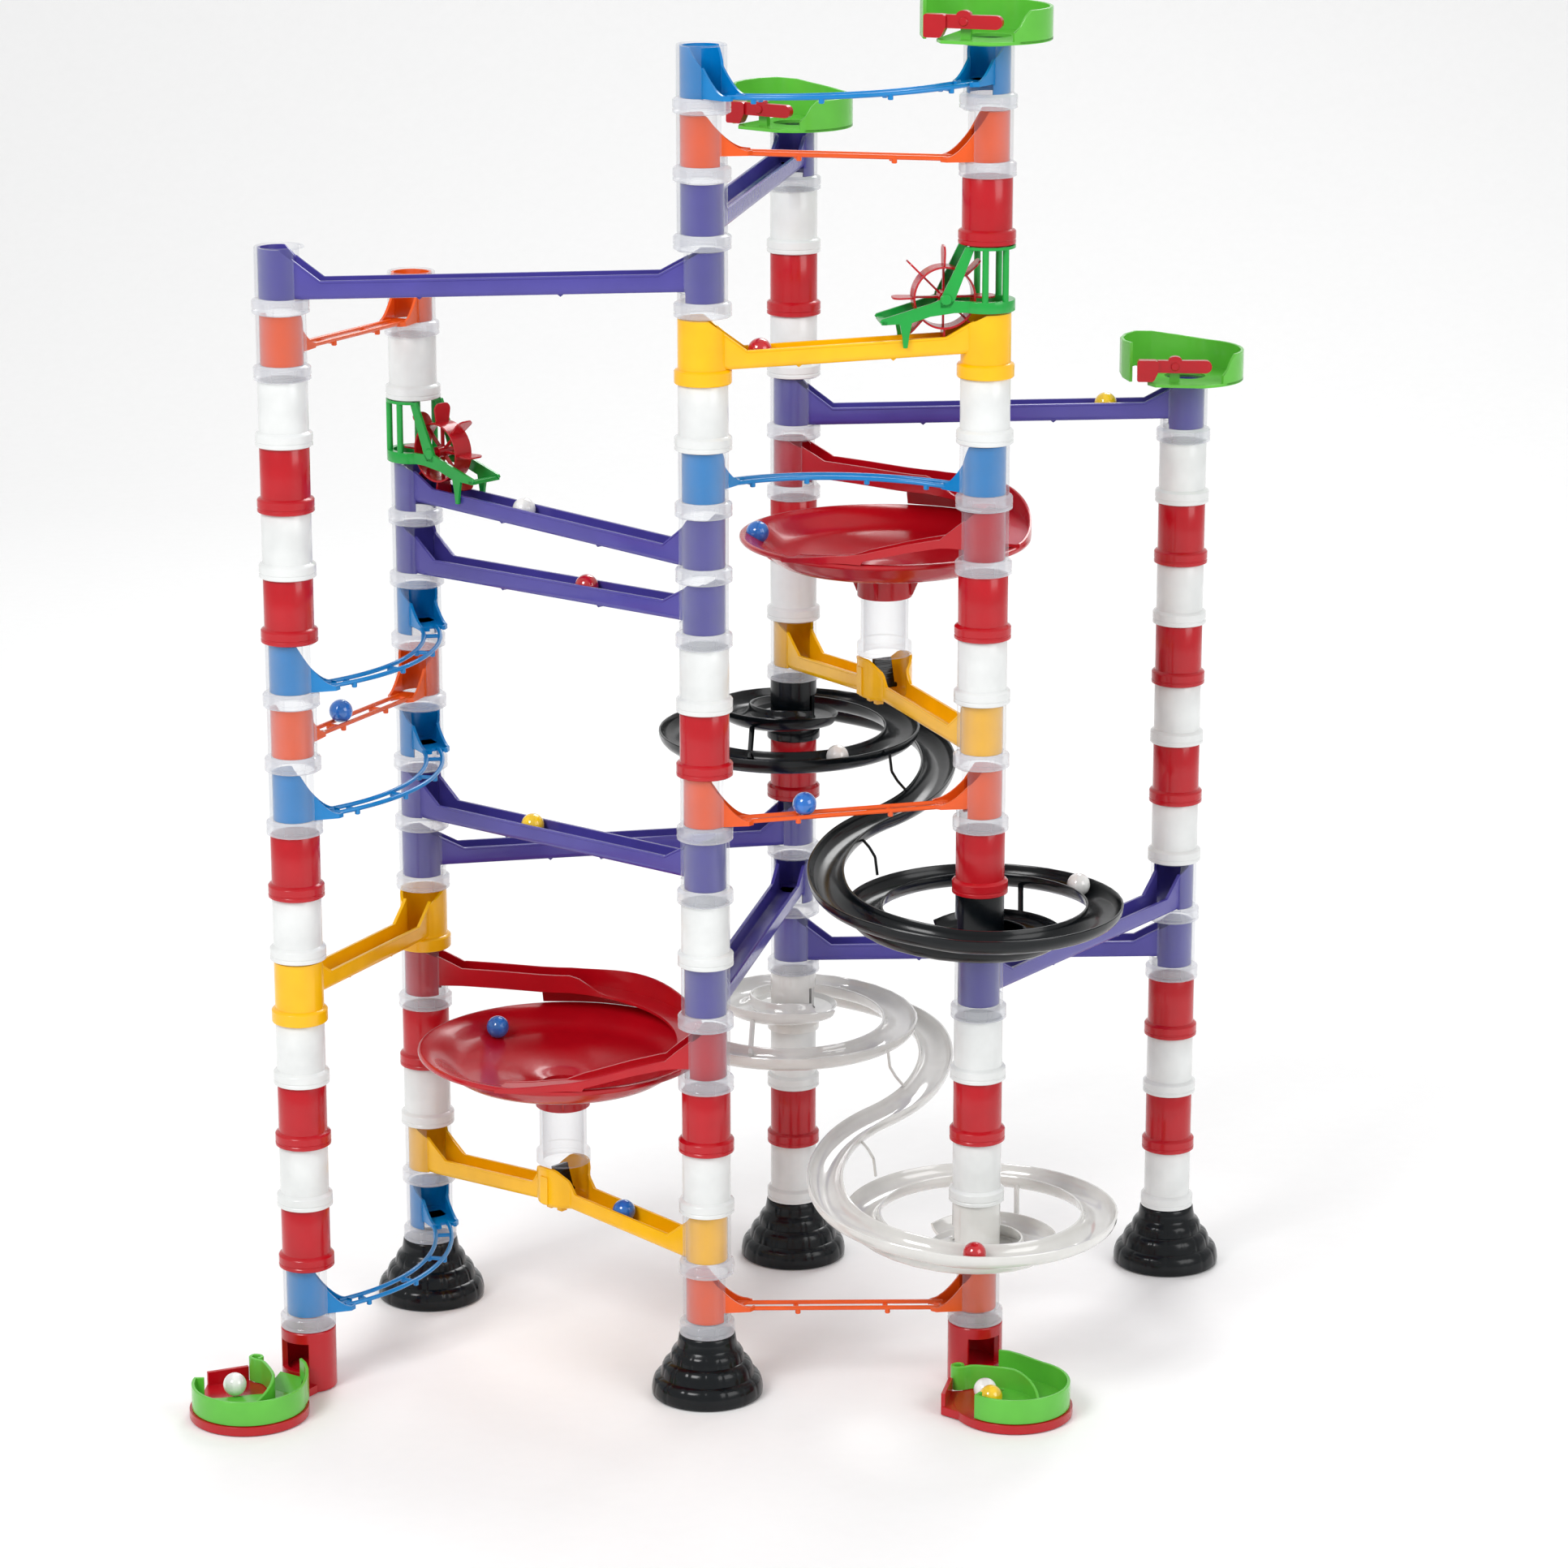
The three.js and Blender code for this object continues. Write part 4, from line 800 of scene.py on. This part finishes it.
def smooth_path(knots, parts):
    """Catmull-Rom through the knots, component by component."""
    def between(t, q0, q1, q2, q3):
        square = (2 * q0 - 5 * q1 + 4 * q2 - q3) * t * t
        cube = (3 * q1 - q0 - 3 * q2 + q3) * t ** 3
        return 0.5 * (2 * q1 + (q2 - q0) * t + square + cube)

    last = len(knots) - 1
    made = []
    for i in range(last):
        near = (knots[max(i - 1, 0)], knots[i], knots[i + 1], knots[min(i + 2, last)])
        for k in range(parts):
            made.append(tuple(between(k / parts, *values) for values in zip(*near)))
    return made + [knots[-1]]


SPIRAL_PARTS = 8
FINE_SPIRAL = smooth_path(SPIRAL_PATH, SPIRAL_PARTS)


def hub_wall(piece, turn, floor_z):
    door = [(turn % 360, CHANNEL_IN, floor_z + 0.2, floor_z + 17)]
    outline = [(0.3, 16.4), (0.9, COLLAR_R), (7.4, COLLAR_R), (8.2, 16.2), (8.8, TUBE_R),
               (24, TUBE_R), (38.1, TUBE_R)]
    piece.wall(outline, BORE_R, door)


def half_pipe(height):
    """Round-bottomed channel of a spiral, 22 wide, with a thin lip."""
    turns = [math.radians(t) for t in (0, 14, 28, 42, 56, 70, 80)]
    right = [(11.0 * math.sin(t), 9.2 * (1 - math.cos(t))) for t in turns]
    right += [(11.1, height - 0.5), (10.8, height), (9.9, height), (9.5, height - 0.6)]
    right += [(9.3 * math.sin(t), FLOOR_T + 7.6 * (1 - math.cos(t))) for t in turns[::-1]]
    return mirrored(right)


def bent_rod(piece, points, radius):
    for start, end in zip(points, points[1:]):
        piece.rod(start, end, radius, 10)


def add_hub(piece, tower, low, turn, floor_z, is_low):
    """A hub with its dish, the thin bracket beside the S bend and the struts to the ring."""
    sign = -1 if is_low else 1
    mirror = SPIRAL_LOW + 2 * PITCH     # heights at the lower hub are this minus those at the upper one

    def height(z, lift):
        return (mirror - z if is_low else z) + lift

    piece.put(*TOWER[tower], low, turn)
    hub_wall(piece, HUB_TURN, floor_z)
    inner = TUBE_R - 0.6
    dish = [(inner, -0.6), (20, -0.8), (25.4, 0.2), (28, 3.6), (27.2, 4.0), (24.6, 1.6), (19.6, 0.8),
            (inner, 0.9)]
    piece.lathe([(r, floor_z + z) for r, z in dish], 64)
    bracket = ((86, -4), (88, -15), (93, -20), (101, -25))
    bent_rod(piece, [(*polar(r, 16.5), height(z, 9.5)) for r, z in bracket], 0.9)
    bent_rod(piece, [(*polar(r, 121.5), height(z, 6)) for r, z in ((56, 5), (65, -4))], 1.6)
    piece.put(*TOWER[tower], low, 0)
    x = -24.5 * sign
    bent_rod(piece, [(x, -33 * sign, height(11, 3)), (x, -64 * sign, height(-4, 6))], 1.7)


def make_spiral(name, material, level):
    length, turn = span("D", "E"), heading("D", "E")
    piece = Piece().put(*TOWER["D"], level_z(level), turn)
    half = [(*polar(radius, angle), z) for angle, radius, z in FINE_SPIRAL]
    path = half + [(length - x, -y, SPIRAL_LOW - z) for x, y, z in half[:-1][::-1]]
    count = len(path)

    def section(i):
        blend = ease(min(i, count - 1 - i) / 6)
        return half_pipe(8.0 + 2.6 * blend)

    piece.sweep(path, section)
    add_hub(piece, "D", level_z(level), turn, 12.0, False)
    add_hub(piece, "E", level_z(level - 2), turn + 180, 6.0, True)
    piece.build(f"{name}_track", material, nodes=[name], bevel=0)


for name, material, level in SPIRALS:
    make_spiral(name, material, level)


# ---- tube modules ----

# Levels of the coloured tubes; the rest are clear.
RED_LEVELS = {
    "A": (14, 12, 8, 4, 2), "B": (4,), "C": (10, 4), "D": (16, 12, 8, 2), "E": (18, 12, 8, 4),
    "F": (12, 10, 8, 4, 2),
}
WHITE_LEVELS = {
    "A": (15, 13, 7, 5, 3), "B": (15, 3), "C": (15, 11, 7, 3), "D": (17, 15, 11, 3, 1), "E": (15, 11, 5, 3),
    "F": (13, 11, 9, 7, 3, 1),
}
# Levels whose tube is replaced by a yellow sleeve, a spiral's hub or a wheel's bracket.
NO_TUBE = {
    ("A", 6), ("B", 6), ("C", 16), ("E", 16), ("D", 9), ("E", 7), ("D", 4), ("E", 2), ("E", 17), ("B", 14),
}
TOP_LEVEL = {"A": 17, "B": 16, "C": 20, "D": 18, "E": 20, "F": 14}
STACK_NODE = {("B", 15): "tower_b_upper_tubes", ("E", 18): "tower_e_upper_tubes"}
GAP = 0.1       # between a tube or tray and what it stands on


def tube_colour(tower, level):
    if level in RED_LEVELS[tower]:
        return "red"
    return "white" if level in WHITE_LEVELS[tower] else "clear"


def make_tube(tower, level):
    colour = tube_colour(tower, level)
    piece = Piece().put(*TOWER[tower], level_z(level) + GAP)
    piece.wall(TUBE_PROFILE, BORE_R, openings.get((tower, level), ()))
    node = TOWER_NODES[tower] if level == 1 else STACK_NODE.get((tower, level))
    name = f"tube_{tower}_{level:02d}".lower()
    made = piece.build(name, colour, nodes=[node] if node else (), bevel=0)
    if colour == "clear":
        # The collar's wall is thicker, so it looks denser than the tube above it.
        made.data.materials.append(MATERIAL["collar"])
        top = (level_z(level) + COLLAR_TOP) * MM
        for face in made.data.polygons:
            face.material_index = int(face.center.z < top)


for tower, top_level in TOP_LEVEL.items():
    for level in range(1, top_level + 1):
        if (tower, level) not in NO_TUBE:
            make_tube(tower, level)


# ---- trays and gate levers ----

TRAYS = [("D", 19, -31), ("E", 21, -16), ("F", 15, 0)]


LEVER_X, LEVER_Z = -7.0, 12.5    # the lever's pin


def tray_outline(inset):
    """Round on the right, drawn out to the left; starts at the front right."""
    corners = [
        (-20 + inset * 0.3, 34.5 - inset), (-31 + inset * 0.7, 28 - inset * 0.7), (-37.5 + inset, 16),
        (-40 + inset, 4 - inset * 0.3), (-38.5 + inset, -8 + inset * 0.3),
        (-34 + inset * 0.7, -16 + inset * 0.5), (-27 + inset * 0.6, -25 + inset * 0.8), (-19, -32.5 + inset),
    ]
    return [polar(36 - inset, -75 + 6 * k) for k in range(31)] + corners


def thin_wall(half, height, chamfer, low=0.0):
    """Section of a thin upright wall with a chamfered top."""
    edge = half - chamfer
    return [(half, low), (half, height - 0.1 - chamfer), (edge, height),
            (-edge, height), (-half, height - 0.1 - chamfer), (-half, low)]


def make_tray(tower, level, turn):
    """A floor cut away on the left, a wall that is open at the front, and a block for the lever's pin."""
    piece = Piece().put(*TOWER[tower], level_z(level) + GAP, turn)
    outline = [(max(x, -23 + 0.02 * y), y) for x, y in tray_outline(0)]
    hole = [polar(12.6, math.degrees(math.atan2(y, x))) for x, y in outline]
    rings = ((outline, 0.3), (outline, 2.2), (hole, 2.2), (hole, 0.0))
    piece.loft([[(x, y, z) for x, y in ring] for ring, z in rings], closed=True)
    wall_path = [(x, y, 0.6) for x, y in tray_outline(1.0)[4:] if not (x < -24 and y < -18)][:-1]
    last = len(wall_path) - 1

    def section(i):
        x = wall_path[i][0]
        height = 18.5 + 6.0 * ease((20 - x) / 55)
        height *= 0.35 + 0.65 * ease(i / 3)
        low = 2.5 * ease((last - i) / 2) if x < -24 else 0.0
        return thin_wall(1.0, height, 0.3, low)

    piece.sweep(wall_path, section)
    piece.wall([(-2.4, COLLAR_R - 0.4), (-2.0, COLLAR_R), (0.6, COLLAR_R)], TUBE_R + 0.3)
    piece.box(-10, -4, -23.6, -20, 1.5, 17)
    piece.rod((LEVER_X, -20.2, LEVER_Z), (LEVER_X, -23.9, LEVER_Z), 3.2)
    piece.build(f"loading_tray_{tower}".lower(), "tray_green", nodes=[f"tray_{tower}".lower()], bevel=0.3)


def make_lever(tower, level, turn):
    """The rocking gate lever: knob on the left, hump over its pin, rounded right end."""
    piece = Piece().put(*TOWER[tower], level_z(level), turn)
    end = arc(11.6, 12.4, 3.9, 3.9, -90, 90, 18)
    hump = arc(LEVER_X, 16.2, 4.2, 2.6, 0, 180, 20)
    knob = [(-29.2, 3.2), (-20.6, 3.2), (-19.4, 4.4), (-17, 9.5), (-17, 15.5), (-19, 16.3), (-29.0, 16.3),
            (-30, 15.3), (-30, 4.0)]
    piece.plate([(-17.5, 8.6)] + end + hump + [(-17.5, 16.2)], -28, -24)
    piece.plate(knob, -29.6, -23.4)
    piece.rod((LEVER_X, -24.2, LEVER_Z), (LEVER_X, -20.2, LEVER_Z), PIN_R)
    piece.rod((LEVER_X, -28.9, LEVER_Z), (LEVER_X, -27.8, LEVER_Z), 2.6)
    name = f"lever_{tower}".lower()
    piece.build(f"{name}_bar", "red", name, [f"gate_{name}"], bevel=0.6)


for tower, level, turn in TRAYS:
    make_tray(tower, level, turn)
    make_lever(tower, level, turn)


# ---- wheel brackets and paddle wheels ----

AXLE_X, AXLE_Z = 25.0, 8.5       # a wheel's axle, out from the tower and above its level
DRUM_IN, DRUM_OUT = 16.9, 18.1
BLADE_START = 17.4


def make_bracket(tower, level):
    """Two rings joined by bars, with a strut and a lipped arm on each side of the wheel."""
    turn = heading(tower, "C")
    piece = Piece().put(*TOWER[tower], level_z(level), turn)
    top = PITCH - 0.3
    mouth = [(0, 7.4, -5, 60)]
    piece.wall([(0.3, 16.4), (0.8, COLLAR_R), (6.4, COLLAR_R), (7, 16.4)], BORE_R, mouth)
    piece.wall([(top - 1.8, COLLAR_R), (top, COLLAR_R)], BORE_R, mouth)
    for angle in (78, 128, 232, 282):
        x, y = polar(14.7, angle)
        piece.rod((x, y, 3), (x, y, top - 0.5), 1.9)
    strut = [(8.5, top), (14, top), (28.5, 8.4), (28.5, 3.5), (22.5, 3.5), (20.5, 6.5)]
    arm = [(8.5, 0.6), (8.5, 7), (20, 7.6), (28, 8.4), (34, 6.2), (62, -2.2), (63, -3.6), (61, -5.6),
           (51.5, -5.2), (50, -13), (49.4, -19), (47, -19), (46, -12), (44.5, -4.6), (34, -1.2), (20, 0.6)]
    for side in (-1, 1):
        near, far = sorted((side * 9.4, side * 11.4))
        piece.plate(strut, near, far)
        piece.plate(arm, near, far)
        piece.rod((AXLE_X, side * 9.2, AXLE_Z), (AXLE_X, side * 12.4, AXLE_Z), 3.4)
    piece.box(58.5, 62, -11.4, 11.4, -5.6, -3.2)
    name = f"wheel_bracket_{tower}".lower()
    piece.build(f"green_{name}", "bracket_green", nodes=[name], bevel=0.35)


def make_wheel(tower, level):
    """A drum on thin spokes with eight round-tipped blades."""
    turn = heading(tower, "C")
    centre = TOWER[tower] + Vector(polar(AXLE_X, turn))
    piece = Piece().put(*centre, level_z(level) + AXLE_Z, turn)
    place = piece.place
    piece.place = place @ Matrix.Rotation(math.radians(90), 4, "X")
    piece.lathe([(DRUM_IN, -6.5), (DRUM_OUT, -6.7), (DRUM_OUT, 6.7), (DRUM_IN, 6.5)], 64)
    piece.lathe([(0.01, -5.4), (3.4, -5.4), (3.4, 5.4), (0.01, 5.4)], 32)
    tip = arc(25.4, 2.2, 4.2, 4.2, 0, 90, 15)[::-1]
    blade = [(BLADE_START, -5.0), (BLADE_START, 5.0)] + tip + [(x, -y) for x, y in tip[::-1]]
    for k in range(8):
        piece.place = place @ Matrix.Rotation(math.radians(45 * k), 4, "Y")
        piece.box(2.8, BLADE_START, -1.2, 1.2, -0.6, 0.6)
        piece.prism(blade[::-1], -0.55, 0.55)
    piece.place = place
    piece.rod((0, -11.1, 0), (0, 11.1, 0), PIN_R)
    name = f"paddle_wheel_{tower}".lower()
    piece.build(f"red_{name}", "red", f"wheel_{tower}".lower(), [name], bevel=0.2)


for tower, level in WHEELS:
    make_bracket(tower, level)
    make_wheel(tower, level)


# ---- bases, exit blocks and collectors ----

def make_base(tower):
    """A bell in four soft tiers with faint ribs round the lower ones."""
    piece = Piece().put(*TOWER[tower], 0, 0)
    profile = [
        (0.01, 0.6), (31, 0.6), (32.6, 0.0), (33.3, 0.6), (33.5, 3.4), (33.1, 6.6), (32.2, 9.6), (30.8, 11.6),
        (28.4, 12.6), (27.9, 14.4), (27.2, 17.4), (26.0, 19.8), (24.2, 21.2), (22.6, 21.8), (22.2, 23.6),
        (21.6, 26.4), (20.4, 28.4), (18.6, 29.6), (18.1, 31), (17.4, 34.4), (17, 37.4), (16.6, 37.9),
        (0.01, 37.9),
    ]

    def ribs(angle, r, z):
        if r < 20 or not 3 < z < 27:
            return r
        return r - 0.35 * max(math.cos(angle * 16), 0) ** 6

    piece.lathe(profile, 192, ribs)
    name = f"base_{tower}".lower()
    piece.build(f"bell_{name}", "black", nodes=[name], bevel=0, sharp=50)


for tower in ("B", "C", "D", "F"):
    make_base(tower)

COLLECTORS = {"A": -121, "E": -66}       # heading of each collector
POOL_X, POOL_R = 57.0, 34.0
POOL_LOW, POOL_RIM = 5.8, 20.8


def pool_arc(radius, sweep):
    """Points round the pool, clockwise from behind the doorway, through sweep degrees."""
    return [(POOL_X + x, y) for x, y in (polar(radius, 124 - sweep * k / 48) for k in range(49))]


def pool_wall(height):
    return [(0.95, 0), (0.95, height - 0.3), (0.6, height), (-0.6, height), (-0.95, height - 0.3), (-0.95, 0)]


def make_exit_block(tower, turn):
    """A foot with a doorway, a round plate in front of it and a fence behind the collector's bay."""
    piece = Piece().put(*TOWER[tower], 0, turn)
    door = [(0, 8.0, 13.2, 31)]
    outline = [(0, 16.1), (0.5, 16.5), (13.2, 16.5), (31, 16.5), (37.2, 16.5), (37.8, 16.1)]
    piece.wall(outline, 13.0, door, sides=64)
    floor = circle(13.6, 48)
    piece.loft([[(x, y, 0.4) for x, y in floor], [(x, y, 13.4 - 0.12 * (x + 13)) for x, y in floor]])
    piece.prism(circle(POOL_R + 1.5, 96, POOL_X), 0.1, 5.5)
    piece.prism(circle(POOL_R + 1.0, 96, POOL_X), 0, 4.9)
    piece.box(10, 40, -14, 14, 0.2, 5.3)
    piece.prism([(24.5, -27.9), (46, -42), (47.5, -39.9), (26, -25.7)], 0.3, 13.8)
    piece.prism([(25.5, -28.5), (46, -42), (60, -34), (30, -12)], 0.2, 5.4)
    name = f"exit_block_{tower}".lower()
    piece.build(f"red_{name}", "red", nodes=[name], bevel=0.4)


def make_collector(tower, turn):
    """Round pool with a ramp from the block's doorway and a curled inner wall."""
    piece = Piece().put(*TOWER[tower], 0, turn)
    height = POOL_RIM - POOL_LOW
    floor = pool_arc(POOL_R - 0.5, 188)
    floor += [(62, -18), (50, -8), (40, 2), (30, -9), (23, -14), (17.6, -10), (17.6, 7.5), (24, 17)]
    piece.prism(floor[::-1], POOL_LOW, POOL_LOW + FLOOR_T)
    outer = [(17.8, 8), (20.5, 13.4), (25, 18.6), (31, 23.2), (38, 27.2)]
    outer += pool_arc(POOL_R - 1, 190) + [(69.5, -28.4), (67.6, -25.6)]
    knots = [(25.5, -19), (22.4, -18.2), (20.8, -21.2), (22.6, -24.6), (26.4, -24.0), (27.6, -19.5),
             (27.6, -13.5), (31.5, -6.5), (39, 3.6), (46, 9.2), (55, 12.2), (65, 12.0), (74, 8.4), (80, 2.5)]
    inner = smooth_path(knots, 6)

    def outer_wall(i):
        return pool_wall(height + 3.0 * ease(1 - i / 4))

    def inner_wall(i):
        return pool_wall(height - 12.6 * ease((i / len(inner) - 0.62) / 0.38))

    for path, section in ((outer, outer_wall), (inner, inner_wall)):
        piece.sweep([(x, y, POOL_LOW) for x, y in path], section)
    ramp = [[(17.4, 8.4), (34, 20)], [(17.4, -8.4), (34, -5.0)]]
    low = POOL_LOW + 0.4
    piece.loft([[(x0, y0, low), (x1, y1, low), (x1, y1, low + 1.5), (x0, y0, 11.6)]
                for (x0, y0), (x1, y1) in ramp])
    name = f"collector_{tower}".lower()
    piece.build(f"green_{name}", "tray_green", nodes=[name], bevel=0.25)


for tower, turn in COLLECTORS.items():
    make_exit_block(tower, turn)
    make_collector(tower, turn)


# ---- marbles ----

def make_marble(name, colour, x, y, z, body="frame", nodes=()):
    mesh = bpy.data.meshes.new(name)
    ball = bmesh.new()
    bmesh.ops.create_icosphere(ball, subdivisions=4, radius=MARBLE_R * MM)
    bmesh.ops.translate(ball, verts=ball.verts, vec=Vector((x, y, z)) * MM)
    ball.to_mesh(mesh)
    ball.free()
    add_to_model(name, mesh, f"marble_{colour}", body, nodes)


def on_rail(a, b, level, share, high, low, seat):
    """Centre of a marble on a straight rail, at a share of the way from the high tower."""
    spot = TOWER[a].lerp(TOWER[b], share)
    length = span(a, b)
    return spot.x, spot.y, level_z(level) + under(length * share, length, high, low) + seat


TROUGH_SEAT = FLOOR_T + MARBLE_R + 0.05
WIRE_SEAT = math.sqrt((MARBLE_R + WIRE_R) ** 2 - WIRE_OFF ** 2)
for name, colour, a, b, level, share in (
    ("marble_b13", "white", "B", "C", 13, 0.39), ("marble_c12", "red", "C", "B", 12, 0.395),
    ("marble_c8", "yellow", "C", "B", 8, 0.595),
):
    make_marble(name, colour, *on_rail(a, b, level, share, HIGH_UNDER, LOW_UNDER, TROUGH_SEAT))
for name, a, b, level, share in (
    ("marble_a10", "A", "B", 10, 0.372), ("marble_e9", "E", "C", 9, 0.64),
):
    make_marble(name, "blue", *on_rail(a, b, level, share, WIRE_HIGH, WIRE_LOW, WIRE_SEAT))
for colour in ("red", "yellow"):
    moving = f"marble_{colour}"
    make_marble(f"rolling_{moving}", colour, *middle_of(moving), moving, [moving])


def in_funnel(a, b, level, radius, share, z):
    """Centre of a marble in a bowl, at a share of a turn from the funnel's heading."""
    spot = halfway(a, b) + Vector(polar(radius, heading(a, b) + 360 * share))
    return spot.x, spot.y, level_z(level) + z


make_marble("marble_upper_funnel", "blue", *in_funnel("D", "E", 13, 77, 0.66, -0.5))
make_marble("marble_lower_funnel", "blue", *in_funnel("B", "C", 5, 65, 0.48, -4.4))
FORK_RISE = (PEAK - LOW_UNDER) * 0.574 * 0.97     # of the fork's floor where its marble lies
make_marble("marble_fork", "blue", *TOWER["B"].lerp(TOWER["C"], 0.713),
            level_z(2) + LOW_UNDER + FORK_RISE + TROUGH_SEAT)


def on_spiral(level, share):
    """Centre of a marble on a spiral, at a share of the way from the upper hub."""
    is_low = share > 0.5
    last = len(FINE_SPIRAL) - 1
    along = (1 - share if is_low else share) * 2 * last
    angle, radius, z = FINE_SPIRAL[min(round(along), last)]
    tower, sign = ("E", -1) if is_low else ("D", 1)
    spot = TOWER[tower] + sign * Vector(polar(radius, angle + heading("D", "E")))
    height = SPIRAL_LOW - z if is_low else z
    return spot.x, spot.y, level_z(level) + height + TROUGH_SEAT


def spiral_share(angle):
    """Share of the way at which the upper half passes an angle of its path."""
    nearest = min(range(len(FINE_SPIRAL)), key=lambda i: abs(FINE_SPIRAL[i][0] - angle))
    return nearest / (len(FINE_SPIRAL) - 1) / 2


make_marble("marble_spiral_upper", "white", *on_spiral(9, spiral_share(-364)))
make_marble("marble_spiral_lower", "white", *on_spiral(9, 1 - spiral_share(-443)))
make_marble("marble_white_spiral", "red", *on_spiral(4, 1 - spiral_share(-568)))


def in_pool(tower, x, y):
    """Centre of a marble on a collector's floor, in the collector's own directions."""
    spot = TOWER[tower] + Vector(polar(math.hypot(x, y), math.degrees(math.atan2(y, x)) + COLLECTORS[tower]))
    return spot.x, spot.y, POOL_LOW + FLOOR_T + MARBLE_R


make_marble("marble_pool_a", "white", *in_pool("A", 54, -13.4))
make_marble("marble_pool_e_1", "white", *in_pool("E", 51.7, -15.8))
make_marble("marble_pool_e_2", "yellow", *in_pool("E", 62.8, -17.1))


# ---- floor, lights and camera ----

def make_stage():
    """A pale floor that curves up into a backdrop; metres."""
    back_y, front_y, side, top, bend = 2.4, -7.0, 8.0, 6.0, 1.2
    profile = [(front_y, 0.0), (back_y, 0.0)]
    for k in range(1, 13):
        turn = k * math.pi / 24
        profile.append((back_y + bend * math.sin(turn), bend * (1 - math.cos(turn))))
    profile.append((back_y + bend, top))
    points = [(x, y, z - 0.0005) for y, z in profile for x in (-side, side)]
    faces = [(2 * i, 2 * i + 1, 2 * i + 3, 2 * i + 2) for i in range(len(profile) - 1)]
    mesh = bpy.data.meshes.new("studio_floor")
    mesh.from_pydata(points, [], faces)
    mesh.polygons.foreach_set("use_smooth", [True] * len(mesh.polygons))
    material, nodes, links, shader = base_material("studio_paper")
    grain = mottle(nodes, links, 90.0)
    two_tints(nodes, links, shader, grain, srgb(250, 250, 250), 0.985, 1.0)
    settings(shader, {"Roughness": 0.55, "Specular IOR Level": 0.25})
    mesh.materials.append(material)
    link_object("studio_floor", mesh)


def make_light(name, place, target, power, size):
    light = bpy.data.lights.new(name, "AREA")
    light.energy = power
    light.size = size
    made = link_object(name, light)
    made.location = place
    made.rotation_euler = (Vector(target) - Vector(place)).to_track_quat("-Z", "Y").to_euler()


make_stage()
world = bpy.data.worlds.new("studio")
world.use_nodes = True
sky = world.node_tree.nodes["Background"]
settings(sky, {"Color": (1, 1, 1, 1), "Strength": 0.62})
bpy.context.scene.world = world
bpy.context.scene.view_settings.view_transform = "Standard"
make_light("key_light", (-1.6, -2.2, 2.6), (0, 0, 0.4), 56, 1.2)
make_light("fill_light", (2.2, -1.6, 1.6), (0, 0, 0.4), 24, 1.6)
make_light("back_light", (0.6, 2.2, 2.4), (0, 0, 0.5), 30, 1.2)

# The camera stands 2.7 m in front of tower C and looks down on the run by about 15 degrees.
CAMERA_FROM_C = Vector((164.3, -2716.2, 1119.8))
LOOK_DOWN, LOOK_LEFT = 15.23, 2.49
camera_data = bpy.data.cameras.new("camera")
camera_data.sensor_width = 36.0
camera_data.lens = 111.2
camera = link_object("camera", camera_data)
camera.location = (Vector((*TOWER["C"], 0)) + CAMERA_FROM_C) * MM
camera.rotation_euler = (math.radians(90 - LOOK_DOWN), 0, math.radians(LOOK_LEFT))
bpy.context.scene.camera = camera
